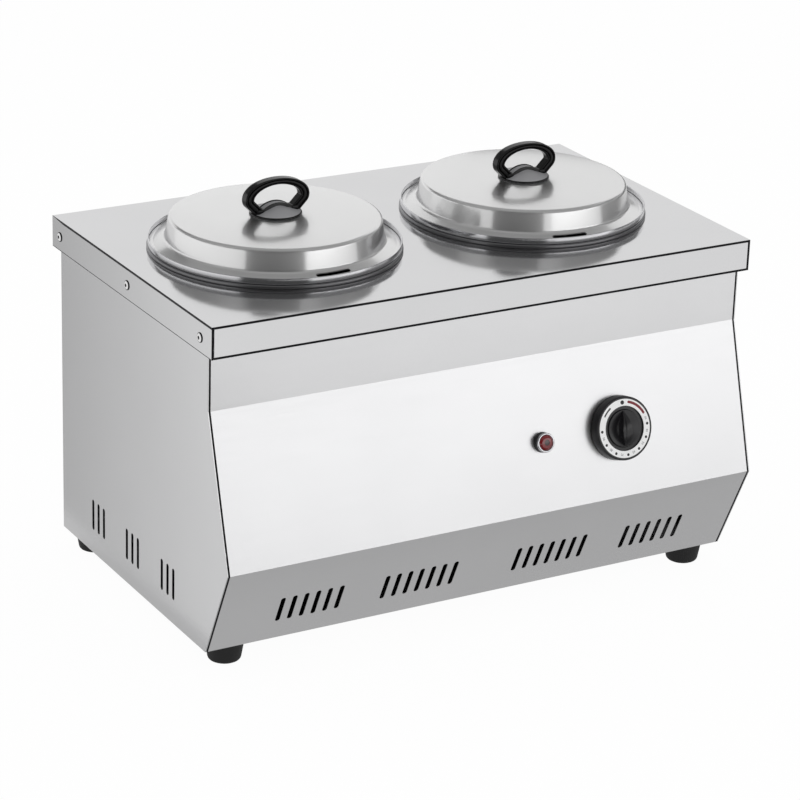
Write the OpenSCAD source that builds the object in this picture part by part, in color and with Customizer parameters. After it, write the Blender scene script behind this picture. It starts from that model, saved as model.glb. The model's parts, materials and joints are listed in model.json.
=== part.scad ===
// Two-well electric soup kettle for a buffet counter: a folded sheet casing,
// two hanging wells with lift-out pots and lids, and one thermostat.
// Millimetres. +Z is up and -Y is the operator's side.

/* [Top plate] */
// Width of the top plate over its skirt
top_w = 600; // [590:2:680]
// Depth of the top plate over its skirt
top_d = 358; // [350:2:420]
// Height of the skirt folded down from the top plate
skirt_h = 32; // [28:1:44]
// Thickness of the casing sheet
sheet_t = 1; // [0.8:0.1:1.4]

/* [Casing] */
// Height of the casing from its lower edge to the top plate
body_h = 335; // [325:1:380]
// Set-back of the side panels from the skirt
side_inset = 3; // [2.5:0.5:6]
// Set-back of the upright band of the front panel from the skirt
band_inset = 13; // [8:1:20]
// Set-back of the back panel from the skirt
back_inset = 14; // [8:1:20]
// Drop from the top plate to the fold where the fascia starts
knee_up = 88; // [70:1:100]
// Drop from the top plate to the foremost fold
knee_low = 238; // [220:1:250]
// Reach of the foremost fold ahead of the skirt
nose_reach = 31; // [20:1:44]
// Set-back of the lower front edge from the skirt
toe_inset = 14; // [6:1:22]
// Width of the flanges folded in along the front panel
front_flange = 12; // [8:1:14]
// Width of the flanges that join the side panels to top and back
side_flange = 18; // [14:1:22]
// Width of the lower flanges that carry the bottom plate and the feet
foot_flange = 46; // [42:1:60]
// Gap at the edges where one panel closes against another
seam_gap = 0.2; // [0.1:0.1:0.5]

/* [Vents] */
// Width of a vent slot
slot_w = 5; // [3:0.5:6]
// Length of a vent slot with its round ends
slot_len = 33; // [24:1:40]
// Pitch between neighbouring slots
slot_pitch = 12.8; // [9:0.2:14]
// Slots in each outer group on the front
outer_slots = 6; // [3:1:7]
// Slots in each inner group on the front
inner_slots = 7; // [3:1:8]
// Offset of the outer groups from the middle
outer_group_x = 196; // [190:1:204]
// Offset of the inner groups from the middle
inner_group_x = 75; // [60:1:85]
// Shift of all the front slots to the right of the middle
front_slots_shift = 2; // [-4:0.5:4]
// Drop from the foremost fold to the middle of the front slots
front_slot_drop = 65; // [50:1:75]
// Height of the side slots' middle above the lower edge
side_slot_rise = 42; // [36:1:60]
// Slots in each of the three groups on a side
side_slots = 3; // [2:1:4]
// Pitch between the groups on a side
side_group_pitch = 80; // [60:1:85]
// Set-back of the foremost side group from the skirt
side_group_y = 97; // [80:1:110]

/* [Feet] */
// Height of a foot under the casing
foot_h = 21; // [15:1:30]
// Diameter of a foot where it meets the casing
foot_d = 39; // [30:1:40]
// Diameter of a foot where it meets the counter
foot_base_d = 32; // [24:1:34]
// Distance of the front feet from the skirt at each side
foot_x_inset = 33.5; // [30:0.5:40]
// Distance of the back feet from the skirt at each side
foot_back_x_inset = 29; // [28:0.5:38]
// Distance of the front feet from the skirt's front
foot_front_inset = 34; // [32:0.5:40]
// Distance of the back feet from the skirt's back
foot_back_inset = 34; // [34:0.5:44]

/* [Wells] */
// Distance between the two wells
well_pitch = 284; // [274:1:300]
// Room between a pot's floor and its well's floor
floor_gap = 18.8; // [12:0.2:24]
// Running gap between a pot and its well
well_gap = 2.2; // [1:0.1:3]
// Thickness of the well's spun sheet
well_t = 1; // [0.8:0.1:1.4]
// Height of the rolled collar that hangs a well on the top plate
collar_h = 3.8; // [3:0.1:5]
// Width of the rolled collar
collar_w = 4.6; // [3.5:0.1:5.5]

/* [Pots] */
// Outside diameter of a pot below its rim
pot_d = 236; // [228:1:238]
// Depth of a pot below its rim step
pot_depth = 200; // [180:1:205]
// Thickness of the pot's wall
pot_t = 1.2; // [1:0.1:1.6]
// Outside diameter of the pot's rim
rim_d = 249.4; // [247:0.2:253]
// Height of the rim's top above the top plate
rim_rise = 10; // [9:0.5:14]
// Radius of the fold round the pot's bottom
pot_corner = 16; // [8:1:24]

/* [Lids] */
// Outside diameter of the lid's brim
brim_d = 244.6; // [242:0.2:245.2]
// Width of the flat land at the brim's edge
brim_land = 3; // [2:0.5:4]
// Thickness of the lid's sheet
lid_t = 1; // [0.8:0.1:1.2]
// Diameter at the foot of the lid's wall
lid_foot_d = 216; // [212:1:220]
// Diameter at the shoulder of the lid's wall
lid_shoulder_d = 209; // [204:1:210]
// Rise from the land to the foot of the wall
lid_foot_rise = 4.6; // [3:0.1:7]
// Rise from the land to the shoulder
lid_shoulder_rise = 26.6; // [20:0.1:34]
// Crown of the lid above its shoulder
lid_crown = 2; // [1:0.5:4]
// Radius of the shoulder
shoulder_r = 4; // [2:0.5:5]
// Length of the steam slot in the brim
steam_slot_len = 33; // [24:1:40]
// Width of the steam slot
steam_slot_w = 4.5; // [3:0.5:5.5]

/* [Lid handles] */
// Width of the grip loop
loop_w = 70; // [60:1:74]
// Height of the loop's top above the lid
loop_top = 36.5; // [34:0.5:42]
// Thickness of the loop at its sides
loop_side_t = 9.4; // [6:0.1:10]
// Thickness of the loop at its top
loop_top_t = 6; // [5:0.1:7]
// Depth of the loop's band from front to back
loop_depth = 10; // [8:0.5:12]
// Diameter of the handle's round seat
seat_d = 52; // [48:1:56]
// Height of the handle's conical seat
seat_h = 11; // [9:0.5:12]

/* [Controls] */
// Distance of the controls down the fascia from its upper fold
control_drop = 87; // [70:1:100]
// Place of the knob from the middle
knob_x = 146; // [120:1:180]
// Place of the lamp from the middle
lamp_x = 57; // [40:1:70]
// Diameter of the knob's skirt against the panel
knob_d = 65.2; // [60:0.2:70]
// Diameter of the knob's face
knob_face_d = 63.8; // [60:0.2:66]
// Height of the knob's face off the panel
knob_face_h = 12; // [11:0.5:16]
// Height of the knob's grip off the panel
knob_grip_h = 18.4; // [17:0.2:20]
// Gap between the knob and the panel
knob_gap = 1; // [0.5:0.1:2]
// Outside diameter of the dial ring on the knob
dial_d = 59; // [56:0.5:59.5]
// Inside diameter of the dial ring
dial_in_d = 45; // [42:0.5:48]
// Thickness of the dial ring
dial_t = 0.6; // [0.4:0.1:1]
// Diameter of the thermostat's shaft
shaft_d = 6; // [5:0.5:8]
// Radial running clearance of the shaft in its bush
shaft_clear = 0.05; // [0.02:0.01:0.1]
// Diameter of the lamp's body on the panel
lamp_d = 20.6; // [18:0.2:24]
// Height of the lamp's bezel off the panel
lamp_h = 7.8; // [6:0.2:10]

/* [Cable entry] */
// Distance of the cable gland from the right side
gland_inset = 97; // [80:1:130]
// Height of the cable gland above the lower edge
gland_rise = 46; // [36:1:60]
// Bore of the gland's cap for the supply cord
gland_bore_d = 9; // [7:0.5:11]
// Thread diameter of the gland
gland_thread_d = 20; // [16:1:20]
// Length of the gland's cap
gland_cap_len = 15; // [10:1:20]
// Thickness of the gland's hexagon outside the panel
gland_hex_t = 5; // [3:0.5:7]

/* [Screws and rivets] */
// Diameter of the small screws
small_screw_d = 4; // [3:0.5:4.5]
// Diameter of the foot screws and the handle screws
big_screw_d = 5; // [4:0.5:6]
// Diameter of the rivets' shanks
rivet_d = 4; // [3:0.5:4.5]
// Play round a screw or rivet in its hole
hole_play = 0.2; // [0.1:0.05:0.3]

/* [Heating] */
// Diameter of the heating ring along its middle
element_d = 170; // [150:1:190]
// Diameter of the heating tube
tube_d = 8.5; // [6.5:0.5:10]
// Length of the heating tube's cold ends
cold_end = 26; // [20:1:32]
// Width of the clamp bar under the ring
clamp_w = 16; // [12:1:20]
// Thickness of the clamp bar
clamp_t = 2; // [1.5:0.5:3]
// Diameter of the weld stud under a well
stud_d = 6; // [5:0.5:8]
// Diameter of the sensing bulb
bulb_d = 6; // [5:0.5:8]
// Length of the sensing bulb
bulb_len = 80; // [60:1:90]
// Diameter of the capillary
capillary_d = 2; // [1.6:0.1:2.4]
// Diameter of the internal wires
wire_d = 2.8; // [2:0.1:3]

/* [Hidden] */
$fn = 64;

// Length of a cutter's overshoot past the face it leaves
cut = 2;
// Clearance between pieces that lie close without a fit
near = 0.3;

// Levels
top_z = foot_h + body_h;
top_under_z = top_z - sheet_t;
joggle_z = top_z - skirt_h + 4;
collar_top_z = top_z + collar_h;
brim_z = collar_top_z + pot_t;
floor_plate_z = foot_h + sheet_t;
floor_top_z = floor_plate_z + sheet_t;

// Plan: the front of the skirt, set so that the whole part is centred on the origin
slope_angle = atan((band_inset + nose_reach) / (knee_low - knee_up));
under_angle = atan((nose_reach + toe_inset) / (body_h - knee_low));
knob_reach = control_drop * sin(slope_angle) - band_inset
    + knob_face_h * cos(slope_angle) + knob_face_d / 2 * sin(slope_angle);
front_reach = max(knob_reach, nose_reach);
gland_out = gland_hex_t + gland_cap_len;
back_reach = max(top_d, top_d - back_inset + gland_out);
front_y = (front_reach - back_reach) / 2;
back_y = front_y + top_d - back_inset;
well_y = front_y + top_d / 2;
band_y = front_y + band_inset;
toe_y = front_y + toe_inset;
half_w = top_w / 2 - side_inset;
panel_half = half_w - sheet_t - seam_gap;
skirt_in = top_w / 2 - sheet_t;

// Wells, pots and lids
well_x = well_pitch / 2;
pot_r = pot_d / 2;
rim_r = rim_d / 2;
well_in_r = pot_r + well_gap;
well_r = well_in_r + well_t;
pot_floor_z = collar_top_z - pot_depth;
well_floor_z = pot_floor_z - floor_gap - well_t;
hole_r = well_r + near;
land_z = brim_z + lid_t;
crown_z = land_z + lid_shoulder_rise + lid_crown;
seat_r = seat_d / 2;
steam_slot_r = (lid_foot_d / 2 + brim_d / 2 - brim_land) / 2;
steam_turn_left = -88;
steam_turn_right = -97;

// Heating
element_z = well_floor_z - tube_d / 2 - 0.1;
clamp_z = element_z - tube_d / 2;
cold_gap_angle = 24;
elbow_r = 8;
pin_len = 10;
pin_d = 3;
clip_h = bulb_d + 2;
bulb_gap = 6;
bulb_x = well_x + element_d / 2 + tube_d / 2 + bulb_gap + bulb_d / 2;
bulb_z = well_floor_z - bulb_d / 2 - 0.1;

// Controls, in the fascia's own frame: +Z off the panel and +Y up the panel
thermo_w = 46;
thermo_h = 36;
thermo_depth = 28;
bush_d = shaft_d + 4;
bush_rise = 1.2;
shaft_in = 14;
shaft_out = 9.5;
thermo_pitch = 28;
hub_d = 16;
groove_depth = 2;
grip_foot_d = 38;
grip_dish_d = 17;
grip_half_len = 17.5;
knob_wall = 2.5;
blade_half_w = 7.7;
blade_heel_half = 4.4;
lamp_barrel_d = 12;
lamp_barrel_len = 26;
lamp_lens_d = 14.8;
bezel_t = 2.4;
tab_w = 6.3;
tab_t = 0.8;
tab_len = 8;
tab_pitch = 18;
lamp_tab_pitch = 6;

// Supply side
gland_x = half_w - gland_inset;
gland_z = foot_h + gland_rise;
gland_in = 10;
gland_body_bore_d = gland_bore_d + 2;
block_w = 44;
block_d = 24;
block_h = 18;
block_pitch = 13;
block_hole_d = wire_d + 0.6;
block_y = back_y - 72;
block_hole_z = floor_top_z + 8;
earth_x = gland_x - 62;
earth_y = block_y + 4;
earth_len = 18;

// Rivets, screws and nuts
rivet_head_d = 9.4;
rivet_head_h = 1.6;
rivet_drop = 17.5;
rivet_end_inset = 24;
rivet_back_inset = 18;
back_rows = 4;
foot_recess_d = 14;
foot_recess_h = 8;

// ---------------------------------------------------------------- helpers

function unit(v) = v / norm(v);

// Normal on the left of the way from a to b
function left_of(a, b) = let (d = unit(b - a)) [-d[1], d[0]];

// Point i of path p, moved by t to the left of the path
function shifted(p, i, t) =
    let (
        last = len(p) - 1,
        i0 = max(i - 1, 0),
        i1 = min(i, last - 1),
        n0 = left_of(p[i0], p[i0 + 1]),
        n1 = left_of(p[i1], p[i1 + 1])
    )
    p[i] + t * (n0 + n1) / (1 + n0 * n1);

// Closed outline of a sheet of thickness t that lies on the left of path p
function sheet_outline(p, t) =
    concat(p, [for (i = [len(p) - 1:-1:0]) shifted(p, i, t)]);

// Points of a fillet of radius r at corner b between a and c
function fillet(a, b, c, r, steps) =
    let (
        d1 = unit(a - b),
        d2 = unit(c - b),
        half = acos(d1 * d2) / 2,
        m = b + unit(d1 + d2) * r / sin(half),
        p1 = b + d1 * r / tan(half) - m,
        p2 = b + d2 * r / tan(half) - m,
        a1 = atan2(p1[1], p1[0]),
        turn = atan2(p1[0] * p2[1] - p1[1] * p2[0], p1 * p2)
    )
    [for (k = [0:steps]) m + r * [cos(a1 + turn * k / steps), sin(a1 + turn * k / steps)]];

// Path p with a fillet of radius r[i] at each inner corner, 0 for a sharp one
function filleted(p, r, steps = 4) = [
    for (i = [0:len(p) - 1])
        each (i == 0 || i == len(p) - 1 || r[i] == 0)
            ? [p[i]]
            : fillet(p[i - 1], p[i], p[i + 1], r[i], steps)
];

// Sheet bent along path p in the Y-Z plane, running from x0 to x1
module folded_sheet(p, x0, x1) {
    translate([x0, 0, 0])
        rotate([90, 0, 90])
            linear_extrude(x1 - x0)
                polygon(sheet_outline(p, sheet_t));
}

// Slot of the given length along Y, cut along Z
module slot(len, w, depth) {
    cube([w, len - w, depth], center = true);
    for (s = [-1, 1])
        translate([0, s * (len - w) / 2, 0])
            cylinder(d = w, h = depth, center = true);
}

// Row of n slots side by side along X
module slot_row(n, pitch, len, w, depth) {
    for (i = [0:n - 1])
        translate([(i - (n - 1) / 2) * pitch, 0, 0])
            slot(len, w, depth);
}

// Children on the fascia, at x and at a distance down from its upper fold
module on_fascia(x, drop) {
    translate([x, band_y - drop * sin(slope_angle), top_z - knee_up - drop * cos(slope_angle)])
        rotate([90 - slope_angle, 0, 0])
            children();
}

// Point on the fascia's frame, for the ends of wires
function fascia_point(x, drop, up, out) = [
    x,
    band_y - (drop - up) * sin(slope_angle) - out * cos(slope_angle),
    top_z - knee_up - (drop - up) * cos(slope_angle) + out * sin(slope_angle)
];

// Children on the lower front, at a distance down from the foremost fold
module on_lower_front(x, drop) {
    translate([
        x,
        front_y - nose_reach + drop * sin(under_angle),
        top_z - knee_low - drop * cos(under_angle)
    ])
        rotate([90 + under_angle, 0, 0])
            children();
}

// Pan-head screw, head above z = 0 and shank below it
module pan_screw(d, len) {
    cylinder(d = d * 2, h = d * 0.35);
    translate([0, 0, d * 0.35])
        cylinder(d1 = d * 2, d2 = d * 1.3, h = d * 0.25);
    translate([0, 0, -len])
        cylinder(d = d, h = len);
}

// Hexagon nut for a screw of diameter d, standing on z = 0
module hex_nut(d, h) {
    difference() {
        cylinder(d = d * 1.85, h = h, $fn = 6);
        translate([0, 0, -cut])
            cylinder(d = d + 2 * shaft_clear, h = h + 2 * cut);
    }
}

// Tube of diameter d swept along route p
module swept_tube(p, d, sides = 8, steps = 4) {
    path = smooth_path(p, steps);
    n = len(path);
    tangents = [for (i = [0:n - 1]) unit(path[min(i + 1, n - 1)] - path[max(i - 1, 0)])];
    normals = carried_normals(tangents);
    points = [
        for (i = [0:n - 1], k = [0:sides - 1])
            let (b = cross(tangents[i], normals[i]), a = 360 * k / sides)
            path[i] + d / 2 * (cos(a) * normals[i] + sin(a) * b)
    ];
    walls = [
        for (i = [0:n - 2], k = [0:sides - 1])
            let (k1 = (k + 1) % sides)
            [i * sides + k, (i + 1) * sides + k, (i + 1) * sides + k1, i * sides + k1]
    ];
    near_end = [for (k = [0:sides - 1]) k];
    far_end = [for (k = [sides - 1:-1:0]) (n - 1) * sides + k];
    polyhedron(points, concat([near_end, far_end], walls), convexity = 4);
}

// Smooth curve through the points of p
function smooth_path(p, steps) = concat(
    [
        for (i = [0:len(p) - 2], k = [0:steps - 1])
            let (
                a = p[max(i - 1, 0)],
                b = p[i],
                c = p[i + 1],
                e = p[min(i + 2, len(p) - 1)],
                t = k / steps
            )
            0.5 * (2 * b + (c - a) * t + (2 * a - 5 * b + 4 * c - e) * t * t
                + (3 * b - a - 3 * c + e) * t * t * t)
    ],
    [p[len(p) - 1]]
);

// Normals carried along a list of tangents without twist
function first_normal(t) = unit(cross(t, abs(t[2]) < 0.8 ? [0, 0, 1] : [1, 0, 0]));
function carried_normals(tangents, i = 0, prev = undef) =
    i == len(tangents)
        ? []
        : let (
            raw = i == 0 ? first_normal(tangents[0]) : prev - (prev * tangents[i]) * tangents[i],
            now = unit(raw)
        )
        concat([now], carried_normals(tangents, i + 1, now));

// ---------------------------------------------------------------- casing

// Corners of the side profile from the top of the front band round to the back
casing_profile = [
    [band_y, joggle_z + sheet_t],
    [band_y, top_z - knee_up],
    [front_y - nose_reach, top_z - knee_low],
    [toe_y, foot_h],
    [back_y, foot_h],
    [back_y, joggle_z + sheet_t]
];

// Places of the rivets along one side of the skirt
rivet_ys = [
    front_y + rivet_end_inset,
    front_y + (rivet_end_inset + top_d - rivet_back_inset) / 2,
    front_y + top_d - rivet_back_inset
];

module at_skirt_rivets() {
    for (side = [0, 1])
        mirror([side, 0, 0])
            for (y = rivet_ys)
                translate([top_w / 2, y, top_z - rivet_drop])
                    rotate([0, 90, 0])
                        children();
}

module top_plate() {
    color("gainsboro")
        difference() {
            translate([-top_w / 2, front_y, top_z - skirt_h])
                cube([top_w, top_d, skirt_h]);
            translate([-skirt_in, front_y + sheet_t, top_z - skirt_h - cut])
                cube([2 * skirt_in, top_d - 2 * sheet_t, skirt_h + cut - sheet_t]);
            for (side = [-1, 1])
                translate([side * well_x, well_y, top_z - sheet_t - cut])
                    cylinder(r = hole_r, h = sheet_t + 2 * cut);
            at_skirt_rivets()
                cylinder(d = rivet_d + 2 * hole_play, h = 2 * (sheet_t + cut), center = true);
        }
}

front_path = [
    [band_y + front_flange, top_under_z],
    [band_y, top_under_z],
    [band_y, top_z - knee_up],
    [front_y - nose_reach, top_z - knee_low],
    [toe_y, foot_h],
    [toe_y + front_flange, foot_h]
];

module front_panel() {
    color("whitesmoke")
        difference() {
            folded_sheet(front_path, -panel_half, panel_half);
            for (side = [-1, 1]) {
                on_lower_front(side * outer_group_x + front_slots_shift, front_slot_drop)
                    slot_row(outer_slots, slot_pitch, slot_len, slot_w, 4 * cut);
                on_lower_front(side * inner_group_x + front_slots_shift, front_slot_drop)
                    slot_row(inner_slots, slot_pitch, slot_len, slot_w, 4 * cut);
            }
            on_fascia(knob_x, control_drop) {
                cylinder(d = bush_d + 2 * hole_play, h = 4 * cut, center = true);
                for (s = [-1, 1])
                    translate([s * thermo_pitch / 2, 0, 0])
                        cylinder(d = small_screw_d + 2 * hole_play, h = 4 * cut, center = true);
            }
            on_fascia(lamp_x, control_drop)
                cylinder(d = lamp_barrel_d + 2 * hole_play, h = 4 * cut, center = true);
        }
}

// Places of the feet, as [x, y]
function foot_place(side, back) = [
    side * (top_w / 2 - (back ? foot_back_x_inset : foot_x_inset)),
    back ? front_y + top_d - foot_back_inset : front_y + foot_front_inset
];

module at_feet() {
    for (side = [-1, 1], back = [false, true])
        translate(concat(foot_place(side, back), [0]))
            children();
}

// Places of the screws down one edge of the back panel
module at_back_screws() {
    low = foot_h + 28;
    high = top_z - skirt_h - 24;
    for (side = [-1, 1], i = [0:back_rows - 1])
        translate([
            side * (panel_half - side_flange / 2),
            back_y,
            low + (high - low) * i / (back_rows - 1)
        ])
            rotate([-90, 0, 0])
                children();
}

module side_panel() {
    flange_y = toe_y + front_flange + 1;
    color("silver")
        difference() {
            union() {
                translate([half_w - sheet_t, 0, 0])
                    rotate([90, 0, 90])
                        linear_extrude(sheet_t)
                            polygon(casing_profile);
                translate([half_w - sheet_t, band_y, joggle_z])
                    cube([side_inset, back_y - band_y, sheet_t]);
                translate([skirt_in - sheet_t, band_y, joggle_z])
                    cube([sheet_t, back_y - band_y, top_under_z - joggle_z]);
                translate([skirt_in - side_flange, band_y + front_flange + 1, top_under_z - sheet_t])
                    cube([side_flange, back_y - band_y - front_flange - side_flange, sheet_t]);
                translate([half_w - foot_flange, flange_y, foot_h])
                    cube([foot_flange, back_y - 2 * sheet_t - flange_y, sheet_t]);
                translate([half_w - side_flange, back_y - 2 * sheet_t, foot_h])
                    cube([side_flange, sheet_t, joggle_z + sheet_t - foot_h]);
            }
            for (i = [0:2])
                translate([
                    half_w,
                    front_y + side_group_y + i * side_group_pitch,
                    foot_h + side_slot_rise
                ])
                    rotate([90, 0, 90])
                        slot_row(side_slots, slot_pitch, slot_len, slot_w, 4 * cut);
            at_skirt_rivets()
                cylinder(d = rivet_d + 2 * hole_play, h = 4 * (sheet_t + cut), center = true);
            at_feet()
                cylinder(d = big_screw_d + 2 * hole_play, h = foot_h + 2 * cut + sheet_t);
            at_back_screws()
                cylinder(d = small_screw_d + 2 * hole_play, h = 6 * sheet_t, center = true);
        }
}

module side_panel_left() {
    mirror([1, 0, 0])
        side_panel();
}

module side_panel_right() {
    side_panel();
}

module back_panel() {
    color("silver")
        difference() {
            translate([-panel_half, back_y - sheet_t, foot_h])
                cube([2 * panel_half, sheet_t, top_under_z - foot_h]);
            for (side = [-1, 1])
                translate([side * inner_group_x, back_y, top_z - skirt_h - slot_len])
                    rotate([90, 0, 0])
                        slot_row(inner_slots, slot_pitch, slot_len, slot_w, 4 * cut);
            translate([gland_x, back_y, gland_z])
                rotate([90, 0, 0])
                    cylinder(d = gland_thread_d + 2 * hole_play, h = 4 * cut, center = true);
            at_back_screws()
                cylinder(d = small_screw_d + 2 * hole_play, h = 4 * cut, center = true);
        }
}

module bottom_plate() {
    plate_y = toe_y + 2;
    plate_half = half_w - sheet_t - 2 * near;
    color("silver")
        difference() {
            translate([-plate_half, plate_y, floor_plate_z])
                cube([2 * plate_half, back_y - 2 * sheet_t - near - plate_y, sheet_t]);
            for (side = [-1, 1], row = [-1, 1])
                translate([side * well_x, well_y + row * slot_len, floor_plate_z])
                    slot_row(inner_slots, slot_pitch, slot_len, slot_w, 4 * cut);
            at_feet()
                cylinder(d = big_screw_d + 2 * hole_play, h = floor_top_z + cut);
            translate([earth_x, earth_y, floor_plate_z])
                cylinder(d = big_screw_d + 2 * hole_play, h = 4 * cut, center = true);
        }
}

module skirt_rivets() {
    color("gainsboro")
        at_skirt_rivets() {
            difference() {
                intersection() {
                    cylinder(d = rivet_head_d, h = rivet_head_h);
                    translate([0, 0, rivet_head_h - rivet_head_d])
                        sphere(r = rivet_head_d);
                }
                translate([0, 0, rivet_head_h / 2])
                    cylinder(d = rivet_d / 2, h = rivet_head_h);
            }
            translate([0, 0, -4 * sheet_t])
                cylinder(d = rivet_d, h = 4 * sheet_t);
        }
}

module back_panel_screws() {
    color("gainsboro")
        at_back_screws()
            pan_screw(small_screw_d, 8);
}

// ---------------------------------------------------------------- feet

foot_path = filleted(
    [
        [foot_recess_d / 2, 0],
        [foot_base_d / 2, 0],
        [foot_d / 2, foot_h],
        [0, foot_h]
    ],
    [0, 4, 0, 0]
);

module foot(side, back) {
    color("black")
        translate(concat(foot_place(side, back), [0]))
            difference() {
                rotate_extrude()
                    polygon(concat(foot_path, [[0, foot_recess_h], [foot_recess_d / 2, foot_recess_h]]));
                cylinder(d = big_screw_d + 2 * hole_play, h = foot_h + cut);
            }
}

module foot_front_left() { foot(-1, false); }
module foot_front_right() { foot(1, false); }
module foot_back_left() { foot(-1, true); }
module foot_back_right() { foot(1, true); }

nut_h = big_screw_d * 0.8;

module foot_screws() {
    color("silver")
        at_feet()
            translate([0, 0, foot_recess_h])
                mirror([0, 0, 1])
                    pan_screw(big_screw_d, floor_top_z + nut_h + 2 - foot_recess_h);
}

module foot_nuts() {
    color("silver")
        at_feet()
            translate([0, 0, floor_top_z])
                hex_nut(big_screw_d, nut_h);
}

// ---------------------------------------------------------------- wells and pots

// Wall and floor of a well, from its collar down to the middle of its floor
well_path = filleted(
    [
        [well_in_r, top_z + collar_h / 2],
        [well_in_r, well_floor_z + well_t],
        [0, well_floor_z + well_t]
    ],
    [0, pot_corner + well_gap, 0]
);

collar_path = filleted(
    [
        [well_in_r, top_z],
        [well_in_r + well_t + collar_w, top_z],
        [well_in_r + well_t + collar_w, collar_top_z],
        [well_in_r, collar_top_z]
    ],
    [0, collar_h * 0.3, collar_h * 0.45, 0]
);

module well_can(side) {
    color("silver")
        translate([side * well_x, well_y, 0]) {
            rotate_extrude()
                polygon(sheet_outline(well_path, well_t));
            rotate_extrude()
                polygon(collar_path);
            translate([0, 0, clamp_z - clamp_t - stud_d - 3])
                cylinder(d = stud_d, h = well_floor_z - clamp_z + clamp_t + stud_d + 3);
        }
}

module well_can_left() { well_can(-1); }
module well_can_right() { well_can(1); }

// Outside of a pot from the top of its rim down to the middle of its floor
pot_path = filleted(
    [
        [rim_r, top_z + rim_rise],
        [rim_r, collar_top_z],
        [pot_r, collar_top_z],
        [pot_r, pot_floor_z],
        [0, pot_floor_z]
    ],
    [0, 1.6, 0, pot_corner, 0]
);

module pot(side) {
    color("lightgray")
        translate([side * well_x, well_y, 0])
            rotate_extrude()
                polygon(sheet_outline(pot_path, -pot_t));
}

module pot_left() { pot(-1); }
module pot_right() { pot(1); }

// ---------------------------------------------------------------- lids

// Top of a lid from the middle of its crown out to the brim's edge
lid_path = filleted(
    [
        [0, crown_z],
        [seat_r + 2, crown_z],
        [lid_shoulder_d / 2 * 0.66, crown_z - lid_crown * 0.35],
        [lid_shoulder_d / 2, crown_z - lid_crown],
        [lid_foot_d / 2, land_z + lid_foot_rise],
        [brim_d / 2 - brim_land, land_z],
        [brim_d / 2, land_z]
    ],
    [0, 0, 0, shoulder_r, shoulder_r, 0, 0]
);

module lid(side, steam_turn) {
    steam_half_turn = steam_slot_len / steam_slot_r * 90 / PI;
    color("gainsboro")
        translate([side * well_x, well_y, 0])
            difference() {
                rotate_extrude()
                    polygon(sheet_outline(lid_path, -lid_t));
                rotate([0, 0, steam_turn - steam_half_turn])
                    rotate_extrude(angle = 2 * steam_half_turn)
                        translate([steam_slot_r - steam_slot_w / 2, land_z - 2 * cut])
                            square([steam_slot_w, lid_foot_rise + 4 * cut]);
                translate([0, 0, crown_z - lid_t - cut])
                    cylinder(d = big_screw_d + 2 * hole_play, h = lid_t + 2 * cut);
            }
}

module lid_left() { lid(-1, steam_turn_left); }
module lid_right() { lid(1, steam_turn_right); }

// Upright ellipse for the grip loop, half sizes a and b about height c
function loop_points(a, b, c) = [for (k = [0:5:355]) [a * cos(k), c + b * sin(k)]];

loop_side_v = 17;
seat_flange_t = 2.5;
seat_top_d = 18;

module lid_handle(side) {
    loop_rise = loop_top - loop_side_v;
    screw_deep = 9;
    color("dimgray")
        translate([side * well_x, well_y, crown_z])
            difference() {
                union() {
                    rotate([90, 0, 0])
                        linear_extrude(loop_depth, center = true)
                            difference() {
                                polygon(loop_points(loop_w / 2, loop_rise, loop_side_v));
                                polygon(loop_points(
                                    loop_w / 2 - loop_side_t, loop_rise - loop_top_t, loop_side_v
                                ));
                                translate([-loop_w / 2, loop_side_v - loop_rise - cut])
                                    square([loop_w, seat_flange_t / 2 + cut + loop_rise - loop_side_v]);
                            }
                    cylinder(d = seat_d, h = seat_flange_t);
                    translate([0, 0, seat_flange_t])
                        cylinder(d1 = seat_d - 8, d2 = seat_top_d, h = seat_h - seat_flange_t);
                }
                translate([0, 0, -cut])
                    cylinder(d = big_screw_d + 2 * shaft_clear, h = screw_deep + cut);
            }
}

module lid_handle_left() { lid_handle(-1); }
module lid_handle_right() { lid_handle(1); }

washer_t = 1;
washer_d = big_screw_d * 3;

module handle_screw(side) {
    color("silver")
        translate([side * well_x, well_y, crown_z - lid_t - washer_t])
            mirror([0, 0, 1])
                pan_screw(big_screw_d, lid_t + washer_t + 8);
}

module handle_screw_left() { handle_screw(-1); }
module handle_screw_right() { handle_screw(1); }

module handle_washer(side) {
    color("silver")
        translate([side * well_x, well_y, crown_z - lid_t - washer_t])
            difference() {
                cylinder(d = washer_d, h = washer_t);
                translate([0, 0, -cut])
                    cylinder(d = big_screw_d + 2 * hole_play, h = washer_t + 2 * cut);
            }
}

module handle_washer_left() { handle_washer(-1); }
module handle_washer_right() { handle_washer(1); }

// ---------------------------------------------------------------- heating

half_gap = cold_gap_angle / 2;

// Place of a cold end: s is -1 or 1 for the two ends of one ring
function cold_end_x(side, s) =
    side * well_x + s * (element_d / 2 * sin(half_gap) - elbow_r * cos(half_gap));
cold_end_y = well_y + element_d / 2 * cos(half_gap) + elbow_r * sin(half_gap);
pin_z = element_z - elbow_r - cold_end - pin_len;

// Cold end that starts at the ring's end, heads along +X and turns down
module cold_end_tube() {
    translate([0, 0, -elbow_r])
        rotate([90, 0, 0])
            rotate_extrude(angle = 90)
                translate([elbow_r, 0])
                    circle(d = tube_d);
    translate([elbow_r, 0, -elbow_r - cold_end])
        cylinder(d = tube_d, h = cold_end);
    translate([elbow_r, 0, -elbow_r - cold_end - pin_len])
        cylinder(d = pin_d, h = pin_len);
}

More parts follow.
